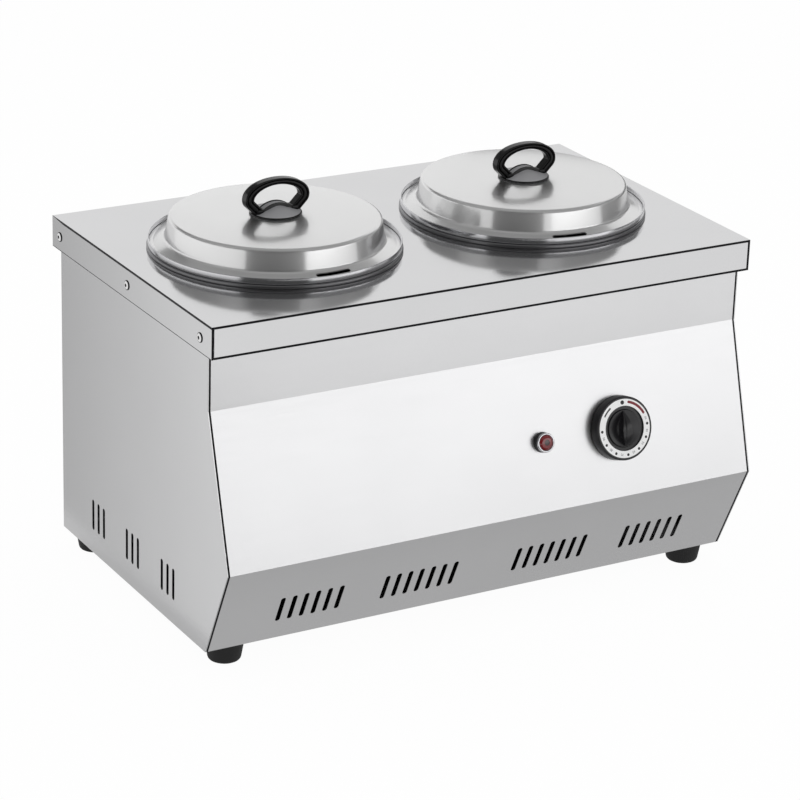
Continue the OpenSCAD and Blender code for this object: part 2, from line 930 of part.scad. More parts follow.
module heating_element(side) {
    color("dimgray")
        translate([side * well_x, well_y, element_z]) {
            rotate([0, 0, 90 + half_gap])
                rotate_extrude(angle = 360 - cold_gap_angle)
                    translate([element_d / 2, 0])
                        circle(d = tube_d);
            for (m = [0, 1])
                mirror([m, 0, 0])
                    rotate([0, 0, half_gap])
                        translate([0, element_d / 2, 0])
                            cold_end_tube();
        }
}

module heating_element_left() { heating_element(-1); }
module heating_element_right() { heating_element(1); }

module element_clamp(side) {
    len = element_d + tube_d + 8;
    color("silver")
        translate([side * well_x, well_y, clamp_z - clamp_t])
            difference() {
                translate([-len / 2, -clamp_w / 2, 0])
                    cube([len, clamp_w, clamp_t]);
                translate([0, 0, -cut])
                    cylinder(d = stud_d + 2 * hole_play, h = clamp_t + 2 * cut);
            }
}

module element_clamp_left() { element_clamp(-1); }
module element_clamp_right() { element_clamp(1); }

module clamp_nuts() {
    color("silver")
        for (side = [-1, 1])
            translate([side * well_x, well_y, clamp_z - clamp_t - stud_d * 0.8])
                hex_nut(stud_d, stud_d * 0.8);
}

bulb_y = well_y;

module sensor_bulb() {
    color("peru")
        translate([bulb_x, bulb_y - bulb_len / 2, bulb_z])
            rotate([-90, 0, 0])
                cylinder(d = bulb_d, h = bulb_len);
}

module bulb_clip() {
    clip_w = bulb_d + 6;
    clip_len = 12;
    color("silver")
        translate([bulb_x, bulb_y - bulb_len / 4, well_floor_z - clip_h])
            difference() {
                translate([-clip_w / 2, -clip_len / 2, 0])
                    cube([clip_w, clip_len, clip_h]);
                translate([0, 0, bulb_z - well_floor_z + clip_h])
                    rotate([90, 0, 0])
                        cylinder(d = bulb_d + 2 * shaft_clear, h = clip_len + 2 * cut, center = true);
            }
}

// ---------------------------------------------------------------- thermostat and knob

// How far the flat on the shaft's end lies from the shaft's middle
flat_off = shaft_d / 2 - 1;

module thermostat_shaft() {
    color("silver")
        on_fascia(knob_x, control_drop)
            difference() {
                translate([0, 0, -shaft_in])
                    cylinder(d = shaft_d, h = shaft_in + shaft_out);
                translate([-shaft_d, flat_off, bush_rise + near])
                    cube([2 * shaft_d, shaft_d, shaft_out]);
            }
}

module thermostat_body() {
    color("slategray")
        on_fascia(knob_x, control_drop)
            difference() {
                union() {
                    translate([-thermo_w / 2, -thermo_h / 2, -sheet_t - thermo_depth])
                        cube([thermo_w, thermo_h, thermo_depth]);
                    translate([0, 0, -sheet_t - cut])
                        cylinder(d = bush_d, h = sheet_t + cut + bush_rise);
                    for (s = [-1, 1])
                        translate([
                            s * tab_pitch / 2 - tab_w / 2,
                            -tab_t / 2,
                            -sheet_t - thermo_depth - tab_len
                        ])
                            cube([tab_w, tab_t, tab_len + cut]);
                }
                translate([0, 0, -shaft_in - 1])
                    cylinder(d = shaft_d + 2 * shaft_clear, h = shaft_in + 1 + bush_rise + cut);
                for (s = [-1, 1])
                    translate([s * thermo_pitch / 2, 0, -sheet_t - 9])
                        cylinder(d = small_screw_d + 2 * shaft_clear, h = 9 + cut);
            }
}

module thermostat_screws() {
    color("silver")
        on_fascia(knob_x, control_drop)
            for (s = [-1, 1])
                translate([s * thermo_pitch / 2, 0, 0])
                    pan_screw(small_screw_d, sheet_t + 7);
}

// Section of the knob from its bore out to its skirt and back over its face
module knob_section() {
    hollow_z = knob_face_h - knob_wall - groove_depth;
    polygon(concat(
        [
            [0, knob_gap + 0.6],
            [hub_d / 2, knob_gap + 0.6],
            [hub_d / 2, hollow_z],
            [knob_face_d / 2 - knob_wall, hollow_z],
            [knob_d / 2 - knob_wall, knob_gap],
            [knob_d / 2, knob_gap],
            [knob_face_d / 2, knob_face_h],
            [dial_in_d / 2, knob_face_h],
            [dial_in_d / 2, knob_face_h - groove_depth],
            [grip_foot_d / 2, knob_face_h - groove_depth]
        ],
        fillet(
            [grip_foot_d / 2, knob_face_h - groove_depth], [grip_foot_d / 2 - 1, knob_face_h],
            [grip_dish_d / 2, knob_face_h - groove_depth], 0.8, 4
        ),
        [
            [grip_dish_d / 2, knob_face_h - groove_depth],
            [0, knob_face_h - groove_depth]
        ]
    ));
}

// Outline of the grip's blade, a leaf with its point up the panel
blade_outline = [
    [0.8, grip_half_len],
    [blade_half_w, -1],
    [blade_half_w + 0.2, -6],
    [blade_heel_half, -grip_half_len + 2],
    [blade_heel_half - 2, -grip_half_len],
    [2 - blade_heel_half, -grip_half_len],
    [-blade_heel_half, -grip_half_len + 2],
    [-blade_half_w - 0.2, -6],
    [-blade_half_w, -1],
    [-0.8, grip_half_len]
];

// Blade of the grip, crowned by a ball that meets the face at the blade's two ends
module knob_blade() {
    rise = knob_grip_h - knob_face_h;
    ball_r = (pow(grip_half_len, 2) + pow(rise, 2)) / (2 * rise);
    intersection() {
        translate([0, 0, knob_face_h - groove_depth - near])
            linear_extrude(rise + groove_depth + near)
                polygon(blade_outline);
        translate([0, 0, knob_grip_h - ball_r])
            sphere(r = ball_r);
    }
}

module control_knob() {
    color("black")
        on_fascia(knob_x, control_drop)
            difference() {
                union() {
                    rotate_extrude()
                        knob_section();
                    knob_blade();
                }
                difference() {
                    cylinder(d = shaft_d + 2 * shaft_clear, h = shaft_out + near);
                    translate([-shaft_d, flat_off + shaft_clear, knob_gap])
                        cube([2 * shaft_d, shaft_d, shaft_out]);
                }
                translate([0, 0, knob_face_h - dial_t])
                    difference() {
                        cylinder(d = dial_d, h = dial_t + cut);
                        translate([0, 0, -cut])
                            cylinder(d = dial_in_d - near, h = dial_t + 3 * cut);
                    }
            }
}

module dial_ring() {
    color("white")
        on_fascia(knob_x, control_drop)
            translate([0, 0, knob_face_h - dial_t])
                difference() {
                    cylinder(d = dial_d - 2 * shaft_clear, h = dial_t);
                    translate([0, 0, -cut])
                        cylinder(d = dial_in_d + 2 * shaft_clear, h = dial_t + 2 * cut);
                }
}

// ---------------------------------------------------------------- lamp

lamp_seat_h = lamp_h - bezel_t;

module lamp_body() {
    color("black")
        on_fascia(lamp_x, control_drop) {
            cylinder(d1 = lamp_d, d2 = lamp_d - 1.2, h = lamp_seat_h);
            translate([0, 0, -sheet_t - lamp_barrel_len])
                cylinder(d = lamp_barrel_d, h = sheet_t + lamp_barrel_len + cut);
            for (s = [-1, 1])
                translate([
                    s * lamp_tab_pitch / 2 - tab_t / 2,
                    -tab_w / 2,
                    -sheet_t - lamp_barrel_len - tab_len
                ])
                    cube([tab_t, tab_w, tab_len + cut]);
        }
}

module lamp_bezel() {
    color("silver")
        on_fascia(lamp_x, control_drop)
            translate([0, 0, lamp_seat_h])
                difference() {
                    cylinder(d = lamp_d - 1.2, h = bezel_t);
                    translate([0, 0, -cut])
                        cylinder(d = lamp_lens_d + 2 * shaft_clear, h = bezel_t + 2 * cut);
                }
}

module lamp_lens() {
    dome_r = lamp_lens_d;
    color("red")
        on_fascia(lamp_x, control_drop)
            intersection() {
                translate([0, 0, lamp_seat_h])
                    cylinder(d = lamp_lens_d, h = 2 * bezel_t);
                translate([0, 0, lamp_h + 1.6 - dome_r])
                    sphere(r = dome_r);
            }
}

module lamp_nut() {
    nut_t = 4;
    color("dimgray")
        on_fascia(lamp_x, control_drop)
            translate([0, 0, -sheet_t - nut_t])
                hex_nut(lamp_barrel_d, nut_t);
}

// ---------------------------------------------------------------- supply side

// Children in the gland's frame: +Z out of the back panel
module at_gland() {
    translate([gland_x, back_y, gland_z])
        rotate([-90, 0, 0])
            children();
}

module cable_gland() {
    color("dimgray")
        at_gland()
            difference() {
                union() {
                    cylinder(d = gland_thread_d * 1.35, h = gland_hex_t, $fn = 6);
                    translate([0, 0, -sheet_t - gland_in])
                        cylinder(d = gland_thread_d, h = sheet_t + gland_in + cut);
                }
                translate([0, 0, -sheet_t - gland_in - cut])
                    cylinder(d = gland_body_bore_d, h = sheet_t + gland_in + gland_hex_t + 2 * cut);
            }
}

module gland_cap() {
    cap_r = gland_thread_d * 0.6;
    color("dimgray")
        at_gland()
            translate([0, 0, gland_hex_t])
                rotate_extrude()
                    polygon(filleted(
                        [
                            [gland_bore_d / 2, 0],
                            [cap_r, 0],
                            [cap_r, gland_cap_len],
                            [gland_bore_d / 2, gland_cap_len]
                        ],
                        [0, 0, 4, 0]
                    ));
}

module gland_locknut() {
    locknut_t = 5;
    color("dimgray")
        at_gland()
            translate([0, 0, -sheet_t - locknut_t])
                difference() {
                    cylinder(d = gland_thread_d * 1.35, h = locknut_t, $fn = 6);
                    translate([0, 0, -cut])
                        cylinder(d = gland_thread_d + 2 * shaft_clear, h = locknut_t + 2 * cut);
                }
}

module terminal_block() {
    color("ivory")
        translate([gland_x, block_y, floor_top_z])
            difference() {
                translate([-block_w / 2, -block_d / 2, 0])
                    cube([block_w, block_d, block_h]);
                for (i = [-1:1])
                    translate([i * block_pitch, 0, block_hole_z - floor_top_z])
                        rotate([90, 0, 0])
                            cylinder(d = block_hole_d, h = block_d + 2 * cut, center = true);
                for (i = [-1:1], s = [-1, 1])
                    translate([i * block_pitch, s * block_d / 4, block_hole_z - floor_top_z])
                        cylinder(d = small_screw_d + 2 * hole_play, h = block_h);
            }
}

module terminal_screws() {
    screw_z = block_hole_z + block_hole_d / 2;
    color("goldenrod")
        for (i = [-1:1], s = [-1, 1])
            translate([gland_x + i * block_pitch, block_y + s * block_d / 4, screw_z])
                cylinder(d = small_screw_d, h = floor_top_z + block_h - screw_z);
}

module earth_stud() {
    color("goldenrod")
        translate([earth_x, earth_y, floor_plate_z]) {
            translate([0, 0, -big_screw_d * 0.6])
                cylinder(d = big_screw_d * 2, h = big_screw_d * 0.6);
            cylinder(d = big_screw_d, h = earth_len);
        }
}

module earth_nuts() {
    color("goldenrod")
        for (z = [floor_top_z, floor_top_z + nut_h + wire_d])
            translate([earth_x, earth_y, z])
                hex_nut(big_screw_d, nut_h);
}

// ---------------------------------------------------------------- wiring

// Ends of the wires: tabs on the thermostat and the lamp, pins on the elements
tab_end = -sheet_t - thermo_depth - tab_len - near;
lamp_tab_end = -sheet_t - lamp_barrel_len - tab_len - near;
inward = [0, cos(slope_angle), -sin(slope_angle)];
live_tab = fascia_point(knob_x + tab_pitch / 2, control_drop, 0, tab_end);
heat_tab = fascia_point(knob_x - tab_pitch / 2, control_drop, 0, tab_end);
lamp_tab_a = fascia_point(lamp_x + lamp_tab_pitch / 2, control_drop, 0, lamp_tab_end);
lamp_tab_b = fascia_point(lamp_x - lamp_tab_pitch / 2, control_drop, 0, lamp_tab_end);
function pin_end(side, s) = [cold_end_x(side, s), cold_end_y, pin_z - near];
function block_end(i, shift = 0) = [
    gland_x + i * block_pitch + shift, block_y - block_d / 2 + 4, block_hole_z
];

module capillary_tube() {
    start = [bulb_x, bulb_y - bulb_len / 2, bulb_z];
    finish = fascia_point(knob_x, control_drop, -thermo_h / 2 - near, -sheet_t - thermo_depth / 2);
    down_panel = [0, -sin(slope_angle), -cos(slope_angle)];
    color("peru")
        swept_tube([
            start,
            start + [0, -12, -1],
            start + [-4, -28, -8],
            [finish[0] + 24, finish[1] + 20, finish[2] - 46],
            finish + 20 * down_panel + [3, 6, 0],
            finish + 7 * down_panel,
            finish
        ], capillary_d);
}

module wire_live() {
    start = block_end(1);
    color("saddlebrown")
        swept_tube([
            start,
            start + [0, -24, 0],
            start + [16, -60, 6],
            [live_tab[0] + 44, well_y - 60, foot_h + 40],
            [live_tab[0] + 26, live_tab[1] + 26, live_tab[2] - 80],
            [live_tab[0] + 3, live_tab[1] + 12, live_tab[2] - 18],
            live_tab + 5 * inward,
            live_tab
        ], wire_d);
}

module wire_heat_right() {
    finish = pin_end(1, 1);
    color("saddlebrown")
        swept_tube([
            heat_tab + [1.6, 0, 0],
            heat_tab + [1.6, 0, 0] + 5 * inward,
            heat_tab + [2.4, 12, -18],
            heat_tab + [8, 24, -84],
            [finish[0] - 6, well_y, foot_h + 50],
            [finish[0] - 3, finish[1] - 34, pin_z - 26],
            finish + [0, -5, -18],
            finish - [0, 0, 6],
            finish
        ], wire_d);
}

module wire_heat_left() {
    finish = pin_end(-1, 1);
    color("saddlebrown")
        swept_tube([
            heat_tab - [1.6, 0, 0],
            heat_tab - [1.6, 0, 0] + 5 * inward,
            heat_tab + [-4, 12, -18],
            heat_tab + [-22, 22, -78],
            [well_x * 0.3, well_y - 30, foot_h + 44],
            [finish[0] + 46, well_y + 30, foot_h + 40],
            finish + [5, -12, -28],
            finish - [0, 0, 6],
            finish
        ], wire_d);
}

module wire_lamp_live() {
    color("saddlebrown")
        swept_tube([
            lamp_tab_a,
            lamp_tab_a + 4 * inward,
            lamp_tab_a + [4, 12, -12],
            [(lamp_tab_a[0] + heat_tab[0]) / 2, heat_tab[1] + 12, heat_tab[2] - 28],
            heat_tab + [-12, 8, -14],
            heat_tab + [-tab_w / 2 - 0.2, 2, -4]
        ], wire_d * 0.7);
}

module wire_lamp_return() {
    finish = block_end(0, 0);
    color("steelblue")
        swept_tube([
            lamp_tab_b,
            lamp_tab_b + 4 * inward,
            lamp_tab_b + [-3, 12, -16],
            lamp_tab_b + [4, 24, -80],
            [lamp_x + 30, well_y - 20, foot_h + 28],
            finish + [-30, -66, 4],
            finish + [-14.5, -26, 0],
            finish + [-block_pitch / 2, -10, 0],
            finish + [-block_pitch / 2, -4 - near, 0]
        ], wire_d * 0.7);
}

module wire_return_right() {
    start = pin_end(1, -1);
    finish = block_end(0);
    color("steelblue")
        swept_tube([
            start,
            start - [0, 0, 6],
            start + [1, -5, -18],
            [start[0] + 12, start[1] - 22, foot_h + 34],
            finish + [-10, -52, 10],
            finish + [0, -22, 0],
            finish
        ], wire_d);
}

module wire_return_left() {
    start = pin_end(-1, -1);
    finish = block_end(-1);
    color("steelblue")
        swept_tube([
            start,
            start - [0, 0, 6],
            start + [2, -6, -20],
            [start[0] + 40, start[1] - 6, foot_h + 30],
            [0, start[1] - 4, foot_h + 18],
            finish + [-70, -32, 12],
            finish + [-12, -26, 2],
            finish + [0, -12, 0],
            finish
        ], wire_d);
}

module wire_earth() {
    start = [gland_x - block_pitch, block_y + block_d / 2 - 4, block_hole_z];
    finish = [earth_x + big_screw_d / 2 + near, earth_y, floor_top_z + nut_h + wire_d / 2];
    color("yellowgreen")
        swept_tube([
            start,
            start + [0, 6, 0],
            start + [-2, 16, 0],
            start + [-18, 23, 0],
            finish + [16, 5, 0],
            finish + [6, 0, 0],
            finish
        ], wire_d);
}

// ---------------------------------------------------------------- nodes

top_plate();
front_panel();
side_panel_left();
side_panel_right();
back_panel();
bottom_plate();
skirt_rivets();
back_panel_screws();
foot_front_left();
foot_front_right();
foot_back_left();
foot_back_right();
foot_screws();
foot_nuts();
well_can_left();
well_can_right();
pot_left();
pot_right();
lid_left();
lid_right();
lid_handle_left();
lid_handle_right();
handle_screw_left();
handle_screw_right();
handle_washer_left();
handle_washer_right();
heating_element_left();
heating_element_right();
element_clamp_left();
element_clamp_right();
clamp_nuts();
control_knob();
dial_ring();
thermostat_shaft();
thermostat_body();
thermostat_screws();
sensor_bulb();
bulb_clip();
capillary_tube();
lamp_body();
lamp_bezel();
lamp_lens();
lamp_nut();
cable_gland();
gland_cap();
gland_locknut();
terminal_block();
terminal_screws();
earth_stud();
earth_nuts();
wire_live();
wire_heat_left();
wire_heat_right();
wire_return_left();
wire_return_right();
wire_lamp_live();
wire_lamp_return();
wire_earth();
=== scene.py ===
"""Soup kettle with two lidded pots: its finishes, its detailed pieces, a studio and a camera."""
import json
import math

import bmesh
import bpy
from bpy.props import FloatProperty, FloatVectorProperty, IntProperty, PointerProperty
from mathutils import Matrix, Vector


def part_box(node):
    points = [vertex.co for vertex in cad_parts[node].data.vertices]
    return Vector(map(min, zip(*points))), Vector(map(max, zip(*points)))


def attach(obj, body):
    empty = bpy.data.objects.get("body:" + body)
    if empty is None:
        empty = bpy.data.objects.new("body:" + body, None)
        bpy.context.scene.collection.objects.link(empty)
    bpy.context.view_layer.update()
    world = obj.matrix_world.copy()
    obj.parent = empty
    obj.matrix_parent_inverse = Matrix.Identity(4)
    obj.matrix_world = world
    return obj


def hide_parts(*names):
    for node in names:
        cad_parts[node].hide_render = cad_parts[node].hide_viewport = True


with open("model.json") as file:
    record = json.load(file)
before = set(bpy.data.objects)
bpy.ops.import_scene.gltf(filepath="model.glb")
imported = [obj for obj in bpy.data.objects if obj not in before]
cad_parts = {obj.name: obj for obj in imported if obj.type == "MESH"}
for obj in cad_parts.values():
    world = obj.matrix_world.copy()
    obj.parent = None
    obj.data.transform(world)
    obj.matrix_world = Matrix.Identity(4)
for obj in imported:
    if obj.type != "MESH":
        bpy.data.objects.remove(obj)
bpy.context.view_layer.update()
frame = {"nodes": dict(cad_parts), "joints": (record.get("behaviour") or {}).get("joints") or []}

bl_info = {
    "name": "Soup kettle",
    "version": (1, 0, 0),
    "blender": (4, 5, 0),
    "location": "View3D > Sidebar > Kettle",
    "description": "Finishes and detailed pieces of a soup kettle with two lidded pots",
    "category": "Object",
}

MM = 0.001
SIDES = ("left", "right")
TURNED = "turned"
PLATE_LOW, PLATE_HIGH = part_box("top_plate")
KNOB_JOINT = next(j for j in frame["joints"] if j["name"] == "knob_turn")
KNOB_AT = Vector(KNOB_JOINT["pos_m"])
OUT = -Vector(KNOB_JOINT["axis"]).normalized()
# Height of the dial's face off the sloping panel, in millimetres
DIAL_FACE = 12.0


# ---------------------------------------------------------------- helpers


def linear(code):
    """Linear colour of an sRGB hex value, with full alpha."""
    parts = [int(code[i : i + 2], 16) / 255 for i in (1, 3, 5)]
    return [p / 12.92 if p <= 0.04045 else ((p + 0.055) / 1.055) ** 2.4 for p in parts] + [1.0]


def add(tree, kind, inputs=None, **settings):
    """Adds a node with its settings, and sets or links each named input."""
    made = tree.nodes.new(kind)
    for key, value in settings.items():
        setattr(made, key, value)
    for key, value in (inputs or {}).items():
        socket = made.inputs[key]
        if isinstance(value, bpy.types.NodeSocket):
            tree.links.new(value, socket)
        else:
            socket.default_value = value
    return made


def centre_of(node):
    """Middle of a CAD node's box."""
    low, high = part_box(node)
    return (low + high) / 2


def radius_of(node, axis=0):
    """Outer radius of a round CAD node in millimetres, to a tenth, across one axis."""
    low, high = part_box(node)
    return round((high[axis] - low[axis]) / 2 / MM, 1)


def well_axis(side):
    """Point on the axis of one well, at counter level."""
    middle = centre_of("well_can_" + side)
    return Vector((middle.x, middle.y, 0))


def on_fascia(at):
    """Frame whose +Z stands off the sloping panel and whose +Y runs up it."""
    up = OUT.cross(Vector((1, 0, 0)))
    turn = Matrix((Vector((1, 0, 0)), up, OUT)).transposed().to_4x4()
    return Matrix.Translation(at) @ turn


def rounded(points, radii, steps=6):
    """Path with a fillet of the given radius at each inner corner, 0 for a sharp one."""
    path = [Vector(points[0])]
    for i in range(1, len(points) - 1):
        before, corner, after = (Vector(p) for p in points[i - 1 : i + 2])
        if radii[i] == 0:
            path.append(corner)
            continue
        back, on = (before - corner).normalized(), (after - corner).normalized()
        half = math.acos(max(-1.0, min(1.0, back.dot(on)))) / 2
        middle = corner + (back + on).normalized() * radii[i] / math.sin(half)
        first = corner + back * radii[i] / math.tan(half) - middle
        last = corner + on * radii[i] / math.tan(half) - middle
        start = math.atan2(first.y, first.x)
        turn = math.atan2(first.x * last.y - first.y * last.x, first.dot(last))
        for k in range(steps + 1):
            angle = start + turn * k / steps
            path.append(middle + radii[i] * Vector((math.cos(angle), math.sin(angle))))
    path.append(Vector(points[-1]))
    return path


def walled(path, wall, caps=(False, False)):
    """Closed outline of a wall on the left of a path, with round edges where it ends."""
    last, cap_steps = len(path) - 1, 5

    def left_of(i):
        along = (path[i + 1] - path[i]).normalized()
        return Vector((-along.y, along.x))

    def cap(a, b, outward):
        middle, arm = (a + b) / 2, (b - a) / 2
        return [middle - math.cos(t) * arm + math.sin(t) * arm.length * outward
                for t in (math.pi * k / cap_steps for k in range(1, cap_steps))]

    far = []
    for i, p in enumerate(path):
        before, after = left_of(max(i - 1, 0)), left_of(min(i, last - 1))
        far.append(p + wall * (before + after) / (1 + before.dot(after)))
    ends = [(path[0] - path[1]).normalized(), (path[-1] - path[-2]).normalized()]
    tail = cap(path[-1], far[-1], ends[1]) if caps[1] else []
    head = cap(far[0], path[0], ends[0]) if caps[0] else []
    return path + tail + far[::-1] + head


def spun(outline, steps):
    """Closed shell turned from (radius, height) in millimetres, mapped along its turning marks."""
    work = bmesh.new()
    chart = work.loops.layers.uv.new(TURNED)
    turns = [2 * math.pi * k / steps for k in range(steps)]
    rings, runs, run = [], [], 0.0
    before = outline[0]
    for p in outline:
        run += math.dist(p, before) * MM
        before = p
        runs.append(run)
        radius, height = p[0] * MM, p[1] * MM
        if p[0] < 1e-6:
            rings.append([work.verts.new((0, 0, height))])
        else:
            rings.append([work.verts.new((radius * math.cos(a), radius * math.sin(a), height))
                          for a in turns])
    runs.append(run + math.dist(outline[0], outline[-1]) * MM)
    for i, a in enumerate(rings):
        b = rings[(i + 1) % len(rings)]
        if len(a) == 1 and len(b) == 1:
            continue
        for k in range(steps):
            n = k + 1
            corners = [(a[k % len(a)], k, runs[i]), (a[n % len(a)], n, runs[i]),
                       (b[n % len(b)], n, runs[i + 1]), (b[k % len(b)], k, runs[i + 1])]
            kept = [c for j, c in enumerate(corners) if c[0] not in [d[0] for d in corners[:j]]]
            face = work.faces.new([c[0] for c in kept])
            for loop, c in zip(face.loops, kept):
                loop[chart].uv = (c[1] / steps, c[2])
    bmesh.ops.recalc_face_normals(work, faces=work.faces[:])
    return work


def lofted(rings):
    """Closed skin through rings of points in millimetres, each with as many points."""
    work = bmesh.new()
    made = [[work.verts.new(Vector(p) * MM) for p in ring] for ring in rings]
    count = len(made[0])
    for a, b in zip(made, made[1:]):
        for k in range(count):
            n = (k + 1) % count
            work.faces.new((a[k], a[n], b[n], b[k]))
    work.faces.new(made[0][::-1])
    work.faces.new(made[-1])
    bmesh.ops.recalc_face_normals(work, faces=work.faces[:])
    return work


def arc_prism(inner, outer, start, end, low, high, steps=16, end_steps=8):
    """Arc-shaped bar with round ends, radii and heights in millimetres, angles in degrees."""
    mid, half = (inner + outer) / 2, (outer - inner) / 2
    first, last = math.radians(start), math.radians(end)
    angles = [first + (last - first) * k / steps for k in range(steps + 1)]
    turn = 1 if last > first else -1

    def end_round(a, way):
        middle = Vector((mid * math.cos(a), mid * math.sin(a)))
        return [middle + half * Vector((math.cos(a + t), math.sin(a + t)))
                for t in (turn * way * math.pi * k / end_steps for k in range(1, end_steps))]

    flat = [Vector((outer * math.cos(a), outer * math.sin(a))) for a in angles]
    flat += end_round(last, 1)
    flat += [Vector((inner * math.cos(a), inner * math.sin(a))) for a in angles[::-1]]
    flat += [2 * Vector((mid * math.cos(first), mid * math.sin(first))) - p
             for p in end_round(first, 1)]
    return lofted([[(p.x, p.y, z) for p in flat] for z in (low, high)])


def meshed(name, work):
    """Mesh of a bmesh, which is freed."""
    data = bpy.data.meshes.new(name)
    work.to_mesh(data)
    work.free()
    return data


def opened(data):
    """Bmesh of a mesh, which is removed."""
    work = bmesh.new()
    work.from_mesh(data)
    bpy.data.meshes.remove(data)
    return work


def linked(name, data):
    """New object in the scene."""
    made = bpy.data.objects.new(name, data)
    bpy.context.scene.collection.objects.link(made)
    return made


def evaluated(holder):
    """Mesh of an object after its modifiers."""
    return bpy.data.meshes.new_from_object(
        holder.evaluated_get(bpy.context.evaluated_depsgraph_get()))


def bare_tree(owner):
    """Empty node tree of a material or a world."""
    owner.use_nodes = True
    owner.node_tree.nodes.clear()
    return owner.node_tree


def joined(*parts):
    """One mesh of several (mesh, index of finish) parts."""
    whole = bmesh.new()
    for part, index in parts:
        data = meshed("part", part)
        first = len(whole.faces)
        whole.from_mesh(data)
        whole.faces.ensure_lookup_table()
        for face in whole.faces[first:]:
            face.material_index = index
        bpy.data.meshes.remove(data)
    return whole


def block(size, at=(0, 0, 0), ease=0.0):
    """Block of that size in millimetres round a point, with broken edges."""
    work = bmesh.new()
    bmesh.ops.create_cube(work, size=1)
    bmesh.ops.scale(work, vec=[s * MM for s in size], verts=work.verts[:])
    if ease:
        bmesh.ops.bevel(work, geom=work.edges[:], offset=ease * MM, segments=3,
                        profile=0.5, affect="EDGES", clamp_overlap=True)
    bmesh.ops.translate(work, vec=[a * MM for a in at], verts=work.verts[:])
    return work


def piece(name, mesh, body, finishes, replaces=(), place=None, sharp=38):
    """Object of a finished mesh, at the origin, riding on its body."""
    data = meshed(name, mesh) if isinstance(mesh, bmesh.types.BMesh) else mesh
    data.name = name
    if place is not None:
        data.transform(place)
    indices = [face.material_index for face in data.polygons]
    data.materials.clear()
    for key in finishes:
        data.materials.append(finish(key))
    data.polygons.foreach_set("material_index", indices)
    data.polygons.foreach_set("use_smooth", [True] * len(data.polygons))
    if sharp:
        data.set_sharp_from_angle(angle=math.radians(sharp))
    data.update()
    made = linked(name, data)
    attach(made, body)
    if replaces:
        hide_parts(*replaces)
    return made


def settled(mesh, *modifiers, finishes=()):
    """Mesh with modifiers, each (kind, settings), applied once its finishes are in their slots."""
    data = meshed("work", mesh)
    for key in finishes:
        data.materials.append(finish(key))
    holder = linked("work", data)
    for kind, settings in modifiers:
        modifier = holder.modifiers.new(kind.lower(), kind)
        for key, value in settings.items():
            setattr(modifier, key, value)
    result = evaluated(holder)
    bpy.data.objects.remove(holder)
    bpy.data.meshes.remove(data)
    return result


def cut_from(mesh, cutter):
    """Bmesh with a cutter taken out of it."""
    tool = linked("cutter", meshed("cutter", cutter))
    result = settled(mesh, ("BOOLEAN", {
        "operation": "DIFFERENCE", "solver": "EXACT", "object": tool}))
    data = tool.data
    bpy.data.objects.remove(tool)
    bpy.data.meshes.remove(data)
    return opened(result)


def merged(node):
    """Copy of a CAD node's mesh whose loose triangles are joined."""
    work = bmesh.new()
    work.from_mesh(frame["nodes"][node].data)
    bmesh.ops.remove_doubles(work, verts=work.verts[:], dist=2e-6)
    return work


def finish_nodes(key, *nodes):
    """Gives CAD nodes that keep their shape their finish."""
    for node in nodes:
        held = frame["nodes"][node]
        held.data.materials.clear()
        held.data.materials.append(finish(key))


def repeater():
    """Geometry Nodes tree that stands one small solid on each point of a mesh."""
    name = "Repeated solids"
    if name in bpy.data.node_groups:
        return bpy.data.node_groups[name]
    tree = bpy.data.node_groups.new(name, "GeometryNodeTree")
    sockets = {
        "Places": "NodeSocketGeometry", "Solid": "NodeSocketObject",
        "Size": "NodeSocketFloat", "Largest turn": "NodeSocketFloat",
        "Seed": "NodeSocketInt", "Finish": "NodeSocketMaterial",
    }
    for label, kind in sockets.items():
        tree.interface.new_socket(label, in_out="INPUT", socket_type=kind)
    tree.interface.new_socket("Solids", in_out="OUTPUT", socket_type="NodeSocketGeometry")
    given = add(tree, "NodeGroupInput").outputs
    axis = add(tree, "GeometryNodeInputNamedAttribute", {"Name": "axis"},
               data_type="FLOAT_VECTOR").outputs["Attribute"]
    stood = add(tree, "FunctionNodeAlignRotationToVector", {"Vector": axis}, axis="Z")
    chance = add(tree, "FunctionNodeRandomValue", {
        "Max": given["Largest turn"], "Seed": given["Seed"]}, data_type="FLOAT")
    spin = add(tree, "ShaderNodeCombineXYZ", {"Z": chance.outputs[1]})
    twist = add(tree, "FunctionNodeEulerToRotation", {"Euler": spin.outputs[0]})
    turned = add(tree, "FunctionNodeRotateRotation", {
        "Rotation": stood.outputs[0], "Rotate By": twist.outputs[0]}, rotation_space="LOCAL")
    solid = add(tree, "GeometryNodeObjectInfo", {"Object": given["Solid"]})
    placed = add(tree, "GeometryNodeInstanceOnPoints", {
        "Points": given["Places"], "Instance": solid.outputs["Geometry"],
        "Rotation": turned.outputs[0], "Scale": given["Size"]})
    real = add(tree, "GeometryNodeRealizeInstances", {"Geometry": placed.outputs[0]})
    painted = add(tree, "GeometryNodeSetMaterial", {
        "Geometry": real.outputs[0], "Material": given["Finish"]})
    add(tree, "NodeGroupOutput", {"Solids": painted.outputs[0]})
    return tree


